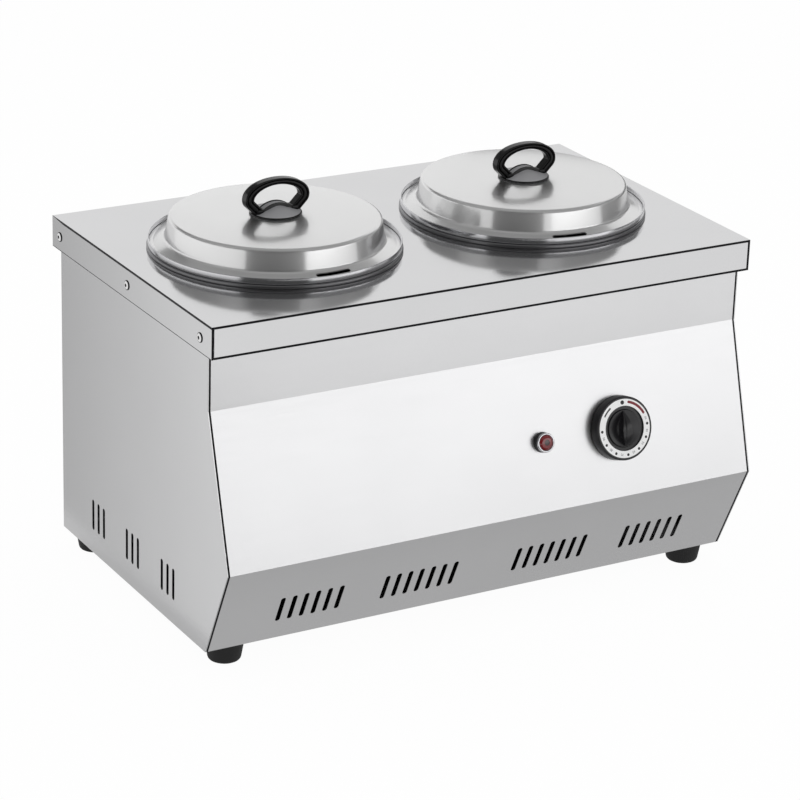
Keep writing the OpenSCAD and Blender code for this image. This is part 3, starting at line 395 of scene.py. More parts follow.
def repeated(name, solid, places, key, body, replaces=(), turn=0.0, seed=1):
    """Piece made of one small solid at each (point, axis), its turns drawn from a fixed seed."""
    points = bpy.data.meshes.new("places")
    points.from_pydata([point for point, _ in places], [], [])
    axes = points.attributes.new("axis", "FLOAT_VECTOR", "POINT")
    axes.data.foreach_set("vector", [c for _, axis in places for c in axis])
    source, holder = linked("solid", meshed("solid", solid)), linked("places", points)
    modifier = holder.modifiers.new("repeat", "NODES")
    modifier.node_group = repeater()
    values = {"Solid": source, "Size": 1.0, "Largest turn": turn, "Seed": seed,
              "Finish": finish(key)}
    for item in modifier.node_group.interface.items_tree:
        if item.in_out == "INPUT" and item.name in values:
            modifier[item.identifier] = values[item.name]
    result = evaluated(holder)
    holder.modifiers.clear()
    for made in (source, holder):
        bpy.data.objects.remove(made)
    if not result.polygons:
        raise RuntimeError(name + " came out empty")
    return piece(name, result, body, [key], replaces=replaces)


# ---------------------------------------------------------------- finishes

FINISHES = {}


def finish(key):
    """Material by its key, made once."""
    if key not in FINISHES:
        maker, settings = RECIPES[key]
        made = bpy.data.materials.new(key)
        tree = bare_tree(made)
        shader = maker(tree, **settings)
        add(tree, "ShaderNodeOutputMaterial", {"Surface": shader.outputs[0]})
        made.diffuse_color = linear(settings["colour"])
        FINISHES[key] = made
    return FINISHES[key]


def toned(tree, factor, colour, depth):
    """Colour that a pattern darkens by a share of itself."""
    shade = [c * (1 - depth) for c in linear(colour)[:3]] + [1.0]
    return add(tree, "ShaderNodeMix", {0: factor, 6: linear(colour), 7: shade},
               data_type="RGBA").outputs[2]


def surfaced(tree, pattern, roughness, haze, depth, strength=0.5):
    """Roughness and relief of a pattern, as inputs of a shader. Its depth is in millimetres."""
    rough = add(tree, "ShaderNodeMapRange", {
        "Value": pattern, "To Min": roughness - haze, "To Max": roughness + haze})
    relief = add(tree, "ShaderNodeBump", {
        "Strength": strength, "Distance": depth * MM, "Height": pattern})
    return {"Roughness": rough.outputs[0], "Normal": relief.outputs[0]}


def rolled_steel(tree, colour, roughness, grain, pitch, depth, haze=0.04):
    """Cold-rolled stainless sheet: fine parallel grain that draws reflections out across it."""
    grain_length, cloud_size = 60 * MM, 90 * MM
    at = add(tree, "ShaderNodeTexCoord").outputs["Object"]
    along, across = 1 / grain_length, 1 / (pitch * MM)
    scale = [along if axis == grain else across for axis in "XYZ"]
    stretched = add(tree, "ShaderNodeMapping", {"Vector": at, "Scale": scale}).outputs[0]
    lines = add(tree, "ShaderNodeTexNoise", {
        "Vector": stretched, "Scale": 1.0, "Detail": 2.0, "Roughness": 0.55}).outputs["Fac"]
    cloud = add(tree, "ShaderNodeTexNoise", {
        "Vector": at, "Scale": 1 / cloud_size, "Detail": 2.0}).outputs["Fac"]
    return add(tree, "ShaderNodeBsdfPrincipled", {
        "Base Color": toned(tree, cloud, colour, depth=0.05), "Metallic": 1.0,
        **surfaced(tree, lines, roughness, haze, depth)})


def turned_steel(tree, colour, roughness, pitch, depth, haze=0.05, veil=0.0):
    """Spun stainless: turning marks fan its highlights out, under a share of dull veil."""
    cloud_size = 60 * MM
    chart = add(tree, "ShaderNodeUVMap", uv_map=TURNED).outputs["UV"]
    radial = add(tree, "ShaderNodeSeparateXYZ", {"Vector": chart}).outputs["Y"]
    at = add(tree, "ShaderNodeTexCoord").outputs["Object"]
    marks = add(tree, "ShaderNodeTexNoise", {
        "W": radial, "Scale": 1 / (pitch * MM), "Detail": 3.0, "Roughness": 0.6},
        noise_dimensions="1D").outputs["Fac"]
    cloud = add(tree, "ShaderNodeTexNoise", {
        "Vector": at, "Scale": 1 / cloud_size, "Detail": 2.0}).outputs["Fac"]
    tangent = add(tree, "ShaderNodeTangent", direction_type="UV_MAP", uv_map=TURNED)
    base = {"Base Color": toned(tree, cloud, colour, depth=0.05), "Metallic": 1.0,
            **surfaced(tree, marks, roughness, haze, depth)}
    polished = add(tree, "ShaderNodeBsdfPrincipled", {
        **base, "Anisotropic": 0.3, "Anisotropic Rotation": 0.25,
        "Tangent": tangent.outputs[0]})
    if not veil:
        return polished
    dull = add(tree, "ShaderNodeBsdfPrincipled", {**base, "Roughness": 0.42})
    return add(tree, "ShaderNodeMixShader", {
        0: veil, 1: polished.outputs[0], 2: dull.outputs[0]})


def plated(tree, colour, roughness, grit, depth, haze=0.08):
    """Plated, drawn or turned small metal: a faint grainy sheen."""
    at = add(tree, "ShaderNodeTexCoord").outputs["Object"]
    grains = add(tree, "ShaderNodeTexNoise", {
        "Vector": at, "Scale": 1 / (grit * MM), "Detail": 3.0, "Roughness": 0.6}).outputs["Fac"]
    return add(tree, "ShaderNodeBsdfPrincipled", {
        "Base Color": toned(tree, grains, colour, depth=0.12), "Metallic": 1.0,
        **surfaced(tree, grains, roughness, haze, depth, strength=0.4)})


def moulded(tree, colour, roughness, grit, depth, tone=0.15, coat=0.0, ior=1.5):
    """Moulded plastic, rubber, glaze, ink or anodised skin: a fine texture under its own gloss."""
    at = add(tree, "ShaderNodeTexCoord").outputs["Object"]
    grains = add(tree, "ShaderNodeTexNoise", {
        "Vector": at, "Scale": 1 / (grit * MM), "Detail": 3.0, "Roughness": 0.55}).outputs["Fac"]
    return add(tree, "ShaderNodeBsdfPrincipled", {
        "Base Color": toned(tree, grains, colour, tone), "IOR": ior, "Coat Weight": coat,
        **surfaced(tree, grains, roughness, haze=0.05, depth=depth)})


def striped_sleeve(tree, colour, roughness, second, pitch):
    """Two-colour silicone sleeve: stripes of the second colour along the core."""
    at = add(tree, "ShaderNodeTexCoord").outputs["Object"]
    stripes = add(tree, "ShaderNodeTexWave", {
        "Vector": at, "Scale": 1 / (pitch * MM), "Distortion": 0.4}, bands_direction="DIAGONAL")
    sharp = add(tree, "ShaderNodeMapRange", {
        "Value": stripes.outputs["Fac"], "From Min": 0.55, "From Max": 0.65})
    mixed = add(tree, "ShaderNodeMix", {
        0: sharp.outputs[0], 6: linear(colour), 7: linear(second)}, data_type="RGBA")
    return add(tree, "ShaderNodeBsdfPrincipled", {
        "Base Color": mixed.outputs[2], "Roughness": roughness})


def recipe(maker, colour, roughness, **settings):
    """Maker of a finish, and what it is given."""
    return maker, {"colour": colour, "roughness": roughness, **settings}


# Pitch, grit and depth are in millimetres, the finest drawn coarser than they are, to show
RECIPES = {
    # Bright-annealed 304 sheet, polished: near-mirror, with a faint rolling grain along X
    "bright_annealed_steel": recipe(
        rolled_steel, "#D0D0D1", 0.10, grain="X", pitch=0.9, depth=0.004, haze=0.03),
    # Brushed front sheet: the same steel with its mirror image blurred away, grain along X
    "brushed_front_steel": recipe(
        rolled_steel, "#DEDEDF", 0.30, grain="X", pitch=0.8, depth=0.005),
    # Sheet beside its folds and ends, painted dull and dark: painted shade at the joints and a
    # painted dark reflection along the folds
    "painted_dark_fold_steel": recipe(plated, "#232325", 0.45, grit=0.8, depth=0.006),
    # Bottom sheet in a dull mill finish, darkened to grey as painted shade so the slots above it
    # look dark
    "shade_darkened_mill_steel": recipe(
        rolled_steel, "#77777A", 0.45, grain="X", pitch=1.2, depth=0.012),
    # Satin-finished side sheets: softer and a little greyer than the plate, grain along Y
    "satin_sheet_steel": recipe(
        rolled_steel, "#CDCDCE", 0.22, grain="Y", pitch=0.8, depth=0.008),
    # Satin-finished back sheet: a little duller than the sides, grain along X
    "satin_back_steel": recipe(
        rolled_steel, "#CDCDCE", 0.25, grain="X", pitch=0.8, depth=0.008),
    # Spun 304 lid, brushed on the lathe: soft fans of light and a blurred mirror image
    "spun_lid_steel": recipe(
        turned_steel, "#EAEAEA", 0.15, pitch=0.9, depth=0.005, haze=0.04, veil=0.5),
    # Deep-drawn 304 pot, polished outside: a tight, bright rim
    "drawn_pot_steel": recipe(turned_steel, "#D2D2D4", 0.16, pitch=1.2, depth=0.006),
    # Spun well, left as it came off the lathe: dull, with plain turning marks
    "spun_well_steel": recipe(turned_steel, "#858587", 0.34, pitch=1.5, depth=0.012),
    # Bright zinc plate on steel screws and nuts: bluish, grainy sheen
    "zinc_plate": recipe(plated, "#B4B8BD", 0.30, grit=0.8, depth=0.01),
    # Stainless panel screws and thermostat shaft: bright and smooth
    "bright_screw_steel": recipe(plated, "#E2E2E3", 0.24, grit=0.7, depth=0.003),
    # Rivet heads in a diffuse near-white, a painted highlight: pale and soft, brighter than the
    # polished steel
    "highlight_white_rivet": recipe(moulded, "#FAFAFA", 0.30, grit=0.7, depth=0.004, tone=0.03),
    # Each rivet's stub and the rim under its head, nearly black: the stub's black is painted shade
    # in the eye, the rim a painted shadow
    "shade_black_stub": recipe(plated, "#2A2A2C", 0.50, grit=0.6, depth=0.01),
    # Turned brass: warm, lightly tarnished
    "turned_brass": recipe(plated, "#C7A24B", 0.30, grit=0.9, depth=0.008),
    # Drawn copper tube: reddish with a soft sheen
    "drawn_copper": recipe(plated, "#C77B53", 0.32, grit=0.9, depth=0.008),
    # Chrome plate on the lamp's bezel: a small hard mirror
    "chrome_plate": recipe(plated, "#DADADD", 0.12, grit=0.6, depth=0.002, haze=0.03),
    # Heating tube oxidised by use: dark brown-grey scale
    "oxidised_sheath": recipe(plated, "#4A4541", 0.55, grit=1.2, depth=0.03),
    # Moulded rubber foot: black, dead matt with a fine mould texture
    "moulded_rubber": recipe(moulded, "#121213", 0.62, grit=0.6, depth=0.03, tone=0.25),
    # Compression-moulded phenolic of the grip loop: deep black under a high gloss
    "gloss_phenolic": recipe(moulded, "#060606", 0.20, grit=7.0, depth=0.02, ior=1.4),
    # Phenolic of the grip's seat and web: dark grey, satin, lightened to a mid-grey that is a
    # painted sheen
    "sheen_grey_phenolic": recipe(moulded, "#8E8E90", 0.50, grit=0.7, depth=0.02),
    # Phenolic of the knob: black with a silky sheen
    "knob_phenolic": recipe(moulded, "#1A191C", 0.30, grit=0.6, depth=0.010),
    # Printed inks of the dial: opaque, semi-matt
    "white_dial_ink": recipe(moulded, "#FAFAFA", 0.45, grit=0.5, depth=0.004, tone=0.03),
    "black_dial_ink": recipe(moulded, "#141315", 0.45, grit=0.5, depth=0.004, tone=0.1),
    "red_dial_ink": recipe(moulded, "#7E1822", 0.45, grit=0.5, depth=0.004, tone=0.1),
    "grey_dial_ink": recipe(moulded, "#77777A", 0.45, grit=0.5, depth=0.004, tone=0.1),
    # Polycarbonate lens: deep red with a glassy skin
    "red_polycarbonate": recipe(
        moulded, "#7A0A14", 0.10, grit=2.0, depth=0.01, coat=0.6, ior=1.58, tone=0.35),
    # The lens where the unlit lamp stands behind it: nearly black red
    "shaded_polycarbonate": recipe(
        moulded, "#2E1214", 0.12, grit=2.0, depth=0.01, coat=0.4, ior=1.58, tone=0.2),
    # Nylon of the lamp's body, nuts and gland: black, semi-matt
    "moulded_nylon": recipe(moulded, "#18181A", 0.40, grit=0.7, depth=0.02),
    # Polyamide case of the thermostat: dark grey, dull
    "thermostat_case": recipe(moulded, "#33343A", 0.50, grit=0.7, depth=0.03),
    # Glazed steatite of the terminal block: cream, glassy
    "glazed_steatite": recipe(
        moulded, "#E4DCC6", 0.16, grit=3.0, depth=0.02, coat=0.5, ior=1.55, tone=0.06),
    # Silicone insulation: soft matt sleeves in the wiring colours
    "brown_silicone": recipe(moulded, "#6B4127", 0.55, grit=0.9, depth=0.02),
    "blue_silicone": recipe(moulded, "#2A5FA8", 0.55, grit=0.9, depth=0.02),
    "earth_silicone": recipe(
        striped_sleeve, "#4E9A2B", 0.55, second="#E5D52C", pitch=9.0),
}


# ---------------------------------------------------------------- settings


class KettleSizes(bpy.types.PropertyGroup):
    """Sizes of the detailed pieces"""

    grip_width: FloatProperty(
        name="Grip width", description="Width of a lid's grip loop", unit="LENGTH",
        default=2 * radius_of("lid_handle_left") * MM, min=60 * MM, max=74 * MM)
    grip_depth: FloatProperty(
        name="Grip depth", description="Depth of the grip's band", unit="LENGTH",
        default=10 * MM, min=8 * MM, max=12 * MM)
    mark_height: FloatProperty(
        name="Mark height", description="Height of a printed mark off the dial", unit="LENGTH",
        default=0.04 * MM, min=0.01 * MM, max=0.2 * MM)
    sheet_edge: FloatProperty(
        name="Sheet edge", description="Radius of the casing's edges", unit="LENGTH",
        default=0.4 * MM, min=0.1 * MM, max=0.48 * MM)
    turning_steps: IntProperty(
        name="Turning steps", description="Facets round a large spun piece",
        default=192, min=48, max=256)


class KettleStudio(bpy.types.PropertyGroup):
    """Camera and light"""

    azimuth: FloatProperty(
        name="Azimuth", description="Turn of the camera about the kettle", subtype="ANGLE",
        default=math.radians(-30.263))
    elevation: FloatProperty(
        name="Elevation", description="Camera's height above the horizon", subtype="ANGLE",
        default=math.radians(21.559))
    roll: FloatProperty(
        name="Roll", description="Tilt of the camera about its own axis", subtype="ANGLE",
        default=math.radians(1.844))
    lens: FloatProperty(
        name="Lens", description="Focal length of the camera in millimetres",
        default=142.69, min=20, max=300)
    camera_from_front: FloatVectorProperty(
        name="Camera place", description="Camera from the middle of the plate's front edge",
        subtype="TRANSLATION", size=3, default=(-1.5145, -2.4255, 1.0049))
    key_power: FloatProperty(
        name="Key power", description="Power of the overhead softbox", unit="POWER",
        default=16.0, min=0, max=200)
    floor_colour: FloatVectorProperty(
        name="Floor colour", description="Colour of the floor", subtype="COLOR", size=3,
        default=linear("#F2F2F2")[:3])


# ---------------------------------------------------------------- pieces


# Radius outside a fold of the casing, and inside it
FOLD_OUTER, FOLD_INNER = 1.5 * MM, 0.5 * MM
# A face narrower than this is the cut edge of a sheet
SHEET_EDGE_MAX = 1.5 * MM
# Room left open between the front panel and each side panel
CORNER_GAP = 0.6 * MM
# Width of the painted dark band beside a fold of the plate, painted shade and dark reflection, and
# how far it reaches in at the front
FOLD_DARK_BAND = 0.8 * MM
FRONT_DARK_BAND = FOLD_OUTER + FOLD_DARK_BAND
# Width of the ends of the front panel painted dark, a painted shade in the joint beside each side
# panel
END_DARK_BAND = 1.4 * MM
# Sheets painted dark at their folds or ends as painted shade and dark reflection, which shows as
# dark lines
DARK_FOLDS = ("top_plate", "front_panel", "side_panel_left", "side_panel_right")
# Thickness of the sheet, and thickness and height of the hem turned in along the front skirt
SHEET_T, HEM_T, HEM_H = 1 * MM, 3.1 * MM, 8 * MM
# Slit beside each corner of the front skirt: its width, and its middle's way from the side
SLIT_WIDTH, SLIT_INSET = 0.6 * MM, 2.3 * MM
# Places closer than this are taken as the same
NEAR = 0.1 * MM


def flattened(work):
    """Joins the triangles of each flat face of a mesh."""
    bmesh.ops.dissolve_limit(work, angle_limit=math.radians(0.5), verts=work.verts[:],
                             edges=work.edges[:])


def sliced(work, at, normal):
    """Cuts an edge into the faces of a mesh where they cross a plane."""
    bmesh.ops.bisect_plane(work, geom=work.verts[:] + work.edges[:] + work.faces[:],
                           plane_co=at, plane_no=normal)


def skin_planes(node, end):
    """Planes, as (point, normal), where a sheet's polish meets its painted dark band."""
    if node == "top_plate":
        levels = (PLATE_LOW.z + FOLD_DARK_BAND, PLATE_LOW.z + FRONT_DARK_BAND, PLATE_HIGH.z - FRONT_DARK_BAND)
        return [((0, 0, level), (0, 0, 1)) for level in levels]
    if node == "front_panel":
        return [((at, 0, 0), (1, 0, 0)) for at in (-end, end)]
    return []


def in_plate_skin(face):
    """Whether a face of the plate lies in the painted dark band of its skirts."""
    at = face.center
    ahead = at.y < PLATE_LOW.y + FOLD_OUTER + NEAR
    beyond_slit = SLIT_INSET - SLIT_WIDTH / 2 + NEAR / 2
    if ahead and abs(at.x) > PLATE_HIGH.x - beyond_slit:
        return True
    below, above = (FRONT_DARK_BAND, FRONT_DARK_BAND) if ahead else (FOLD_DARK_BAND, FOLD_OUTER)
    between = PLATE_LOW.z + below < at.z < PLATE_HIGH.z - above
    return not between and abs(face.normal.z) < 0.5


def weigh_edges(work, width):
    """Gives each fold and each cut edge of a sheet its share of the widest bevel."""
    least_turn = math.radians(8)
    weight = work.edges.layers.float.new("bevel_weight_edge")
    for edge in work.edges:
        turn = edge.calc_face_angle(0)
        if turn < least_turn:
            continue
        widths = [face.calc_area() / edge.calc_length() for face in edge.link_faces]
        radius = width
        if min(widths) > SHEET_EDGE_MAX:
            radius = FOLD_OUTER if edge.is_convex else FOLD_INNER
        edge[weight] = min(1.0, radius * math.tan(turn / 2) / FOLD_OUTER)


def eased(name, work, node, key, width):
    """Sheet piece whose folds are rounded and whose cut edges are broken."""
    flattened(work)
    end = max(v.co.x for v in work.verts) - END_DARK_BAND
    for at, normal in skin_planes(node, end):
        sliced(work, at, normal)
    for face in work.faces:
        face.smooth = True
    weigh_edges(work, width)
    # Folds and ends of these sheets take a near-black finish: painted shade and painted dark
    # reflection
    finishes = [key, "painted_dark_fold_steel"] if node in DARK_FOLDS else [key]
    fold_finish = 0 if node == "front_panel" else len(finishes) - 1
    mesh = settled(
        work,
        ("BEVEL", {"width": FOLD_OUTER, "segments": 3, "limit_method": "WEIGHT",
                   "use_clamp_overlap": True, "material": fold_finish}),
        ("WEIGHTED_NORMAL", {"keep_sharp": False, "weight": 80}), finishes=finishes)
    for face in mesh.polygons:
        if node == "top_plate" and in_plate_skin(face):
            face.material_index = 1
        if node == "front_panel":
            face.material_index = int(abs(face.center.x) > end)
    piece(name, mesh, "casing", finishes, replaces=(node,), sharp=None)


def trimmed_front():
    """Front panel, short enough to leave a dark joint beside each side panel."""
    work = merged("front_panel")
    end = max(v.co.x for v in work.verts)
    # The solid already stops this far from the side panels
    room = 0.2 * MM
    for v in work.verts:
        if abs(v.co.x) > end - NEAR:
            v.co.x = math.copysign(end + room - CORNER_GAP, v.co.x)
    return work


def hemmed_plate():
    """Top plate with its front skirt hemmed and slit open beside both corners."""
    low, high = PLATE_LOW / MM, PLATE_HIGH / MM
    # The slits stop short of the top face and go through the skirt
    land, depth = 2, 4
    size = (SLIT_WIDTH / MM, depth, high.z - low.z)
    middle = (low.z + high.z) / 2 - land
    slits = [(block(size, (s * (high.x - SLIT_INSET / MM), low.y, middle)), 0) for s in (-1, 1)]
    work = cut_from(merged("top_plate"), joined(*slits))
    flattened(work)
    for rise in (HEM_H, HEM_H + HEM_T / 4):
        sliced(work, (0, 0, PLATE_LOW.z + rise), (0, 0, 1))
    for v in work.verts:
        inner = abs(v.co.y - PLATE_LOW.y - SHEET_T) < NEAR
        between = abs(v.co.x) < PLATE_HIGH.x - SLIT_INSET - NEAR
        if inner and between and v.co.z < PLATE_LOW.z + HEM_H + NEAR:
            v.co.y = PLATE_LOW.y + HEM_T
    return work


class KETTLE_OT_casing(bpy.types.Operator):
    """Make the folded casing with rounded folds and broken edges"""

    bl_idname = "kettle.casing"
    bl_label = "Casing"

    def execute(self, context):
        width = context.scene.kettle_sizes.sheet_edge
        plan = {
            "top_plate": ("bright_annealed_steel", "polished_steel"),
            "front_panel": ("brushed_front_steel", "polished_steel"),
            "side_panel_left": ("satin_sheet_steel", "satin_steel"),
            "side_panel_right": ("satin_sheet_steel", "satin_steel"),
            "back_panel": ("satin_back_steel", "satin_steel"),
            # The bottom sheet's grey is painted shade seen through the front panel's slots
            "bottom_plate": ("shade_darkened_mill_steel", "satin_steel"),
        }
        shaped = {"top_plate": hemmed_plate, "front_panel": trimmed_front}
        for node, (key, slot) in plan.items():
            work = shaped[node]() if node in shaped else merged(node)
            eased(node + "_sheet", work, node, key, width)
        finish_nodes("moulded_rubber", "foot_front_left", "foot_front_right",
                     "foot_back_left", "foot_back_right")
        return {"FINISHED"}


def pan_head(d, shank):
    """Pan-head screw with a cross recess, its head above the origin, by its thread's diameter."""
    head = spun(rounded(
        [(0, 0.62 * d), (0.95 * d, 0.56 * d), (d, 0), (d / 2, 0), (d / 2, -shank), (0, -shank)],
        [0, 0.35 * d, 0, 0, 0.15 * d, 0]), steps=24)
    long, short, deep, middle = 1.1 * d, 0.24 * d, 0.8 * d, (0, 0, 0.62 * d)
    cross = joined((block((long, short, deep), middle), 0),
                   (block((short, long, deep), middle), 0))
    return cut_from(head, cross)


def middles_of(node):
    """Middle of each separate solid of a CAD node."""
    work = merged(node)
    seen, found = set(), []
    for start in work.verts:
        if start in seen:
            continue
        group, front = [], [start]
        seen.add(start)
        while front:
            v = front.pop()
            group.append(v.co.copy())
            for e in v.link_edges:
                other = e.other_vert(v)
                if other not in seen:
                    seen.add(other)
                    front.append(other)
        low, high = (Vector([pick(p[i] for p in group) for i in range(3)]) for pick in (min, max))
        found.append((low + high) / 2)
    work.free()
    return found


class KETTLE_OT_fasteners(bpy.types.Operator):
    """Set the rivets, screws and nuts that show"""

    bl_idname = "kettle.fasteners"
    bl_label = "Fasteners"

    def execute(self, context):
        head, stem, eye = radius_of("skirt_rivets", axis=2), 1.6, 1.1
        rivet = spun(rounded(
            [(0, 0.2), (eye, 0.2), (1.15, 1.55), (3.9, 1.15), (head, 0), (stem, 0),
             (stem, -4.0), (0, -4.0)],
            [0, 0, 0.25, 1.4, 0, 0, 0.3, 0]), steps=40)
        places = []
        for middle in middles_of("skirt_rivets"):
            side = 1 if middle.x > 0 else -1
            face = PLATE_HIGH.x if side > 0 else PLATE_LOW.x
            places.append(((face, middle.y, middle.z), (side, 0, 0)))
        # The rivet heads' near-white finish is a painted highlight
        repeated("skirt_rivet_set", rivet, places, "highlight_white_rivet", "casing",
                 replaces=("skirt_rivets",))
        # The stub's near-black is painted shade in each rivet's eye; the rim under each head is a
        # painted shadow
        stub = spun([(0, 0.1), (1.8, 0.1), (1.8, 1.55), (0, 1.65)], 20)
        rim = spun([(4.3, 0.0), (4.9, 0.0), (4.9, 0.5), (4.3, 0.9)], 40)
        repeated("skirt_rivet_stubs", joined((stub, 0), (rim, 0)), places, "shade_black_stub",
                 "casing")
        back, full_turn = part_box("back_panel")[1].y, 2 * math.pi
        places = [((m.x, back, m.z), (0, 1, 0)) for m in middles_of("back_panel_screws")]
        repeated("back_screw_set", pan_head(d=4.0, shank=8.0), places, "bright_screw_steel",
                 "casing", replaces=("back_panel_screws",), turn=full_turn, seed=7)
        recess = 8 * MM
        places = [((m.x, m.y, recess), (0, 0, -1)) for m in middles_of("foot_screws")]
        shank = (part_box("foot_screws")[1].z - recess) / MM
        repeated("foot_screw_set", pan_head(d=5.0, shank=shank), places, "zinc_plate", "casing",
                 replaces=("foot_screws",), turn=full_turn, seed=11)
        finish_nodes("zinc_plate", "foot_nuts", "clamp_nuts")
        return {"FINISHED"}


class KETTLE_OT_wells(bpy.types.Operator):
    """Make the spun wells with their rolled collars"""

    bl_idname = "kettle.wells"
    bl_label = "Wells"

    def execute(self, context):
        steps = context.scene.kettle_sizes.turning_steps
        bore, wall, stud_r, under_pot = 120.2, 1.0, 3, 18.8
        for side in SIDES:
            node = "well_can_" + side
            low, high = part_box(node)
            collar, lip = radius_of(node), round((high.z - PLATE_HIGH.z) / MM, 1)
            top, end = high.z / MM, low.z / MM
            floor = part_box("pot_" + side)[0].z / MM - under_pot
            can = spun(rounded(
                [(0, floor), (bore, floor), (bore, top), (collar, top), (collar, top - lip),
                 (bore + wall, top - lip), (bore + wall, floor - wall), (0, floor - wall)],
                [0, 18.2, 1.4, 1.7, 1.0, 0, 19.2, 0], steps=8), steps)
            stud = spun(rounded(
                [(0, floor - 0.5), (stud_r, floor - 0.5), (stud_r, end), (0, end)],
                [0, 0, 0.5, 0]), 24)
            piece("well_shell_" + side, joined((can, 0), (stud, 0)), "casing",
                  ["spun_well_steel"], replaces=(node,),
                  place=Matrix.Translation(well_axis(side)))
        return {"FINISHED"}


class KETTLE_OT_pots(bpy.types.Operator):
    """Make the drawn pots"""

    bl_idname = "kettle.pots"
    bl_label = "Pots"

    def execute(self, context):
        steps = context.scene.kettle_sizes.turning_steps
        body, wall = 118, 1.2
        for side in SIDES:
            node = "pot_" + side
            low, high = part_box(node)
            collar_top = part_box("well_can_" + side)[1].z
            rim, drop = radius_of(node), round((high.z - collar_top) / MM, 1)
            top, floor = high.z / MM, low.z / MM
            path = rounded(
                [(rim, top), (rim, top - drop), (body, top - drop), (body, floor), (0, floor)],
                [0, 1.6, 0.6, 16, 0], steps=8)
            piece("drawn_pot_" + side, spun(walled(path, -wall, caps=(True, False)), steps),
                  side + "_pot", ["drawn_pot_steel"], replaces=(node,),
                  place=Matrix.Translation(well_axis(side)))
        return {"FINISHED"}


class KETTLE_OT_lids(bpy.types.Operator):
    """Make the spun lids with their steam slots"""

    bl_idname = "kettle.lids"
    bl_label = "Lids"

    def execute(self, context):
        steps = context.scene.kettle_sizes.turning_steps
        hole, flat, shoulder, foot, seat, wall = 2.7, 28, 104.5, 108, 119.3, 1.0
        slot_in, slot_out, slot_length, slot_turns = 111.4, 115.9, 33, (-88, -97)
        for side, turned in zip(SIDES, slot_turns):
            node = "lid_" + side
            low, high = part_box(node)
            crown, land, rim = high.z / MM, low.z / MM + wall, radius_of(node)
            bend, bend_drop, drop, rise = 0.66 * shoulder, 0.7, 2.0, 4.6
            path = rounded(
                [(hole, crown), (flat, crown), (bend, crown - bend_drop),
                 (shoulder, crown - drop), (foot, land + rise), (seat, land), (rim, land)],
                [0, 8, 60, 4, 4, 1.5, 0], steps=8)
            shell = spun(walled(path, -wall, caps=(True, True)), steps)
            half = math.degrees(slot_length / ((slot_in + slot_out) / 2)) / 2
            slot = arc_prism(slot_in, slot_out, turned - half, turned + half, land - 6, land + 9)
            piece("spun_lid_" + side, cut_from(shell, slot), side + "_lid",
                  ["spun_lid_steel"], replaces=(node,),
                  place=Matrix.Translation(well_axis(side)))
        return {"FINISHED"}


def grip_loop(width, depth):
    """Loop of a lid's grip: a ribbed band up one leg, round the arch and down the other."""
    side_t, top_t, middle_z, top_z, foot_x, foot_z = 9.4, 6.0, 17.0, 36.3, 17.0, 0.9
    arch_steps = 64
    reach, rise = (width - side_t) / 2, top_z - top_t / 2 - middle_z
    leg = [p.copy() for p in rounded(
        [(foot_x, foot_z), (reach, middle_z - 2.6), (reach, middle_z)], [0, 6, 0], steps=8)]
    arch = [Vector((reach * math.cos(t), middle_z + rise * math.sin(t)))
            for t in (math.pi * k / arch_steps for k in range(1, arch_steps))]
    line = leg + arch + [Vector((-p.x, p.y)) for p in leg[::-1]]
    rings = []
    for i, p in enumerate(line):
        along = (line[min(i + 1, len(line) - 1)] - line[max(i - 1, 0)]).normalized()
        out = Vector((along.y, 0, -along.x))
        high = max(0.0, (p.y - middle_z) / rise) ** 2
        half = (side_t + (top_t - side_t) * high) / 2
        rings.append([Vector((p.x, v * depth / 2, p.y)) + out * (u * half)
                      for u, v in rib_section()])
    return lofted(rings)


def rib_section():
    """Section of the grip's band across its thickness and depth, both from -1 to 1."""
    shoulder, fall, groove_at, groove_width, groove_depth, steps = 0.75, 0.2, 0.45, 0.12, 0.26, 40
    face = []
    for k in range(steps + 1):
        u = -1 + 2 * k / steps
        edge = 1 - fall * max(0.0, (abs(u) - shoulder) / (1 - shoulder)) ** 2
        groove = groove_depth * math.exp(-((abs(u) - groove_at) / groove_width) ** 2)
        face.append((u, edge - groove))
    sides = [(1, 0.5), (1, 0), (1, -0.5)]
    return (face + sides + [(u, -v) for u, v in face[::-1]] + [(-1, -0.5), (-1, 0), (-1, 0.5)])


def grip_web(depth):
    """Arched bar that joins the feet of a grip's legs over its seat."""
    reach, peak, arc, ease, turn, half_steps = 18.5, 11.3, 25.0, 0.6, 0.18, 16
    across = [reach * (k / half_steps - 1) for k in range(2 * half_steps + 1)]

    def ring(y, inset):
        top = [(x * (1 - inset / reach), y, peak - inset - arc + math.sqrt(arc ** 2 - x ** 2))
               for x in across]
        return top + [(reach - inset, y, 1.0), (inset - reach, y, 1.0)]

    half = depth / 2
    return lofted([ring(-half, ease), ring(turn - half, turn), ring(ease - half, 0),
                   ring(half - ease, 0), ring(half - turn, turn), ring(half, ease)])


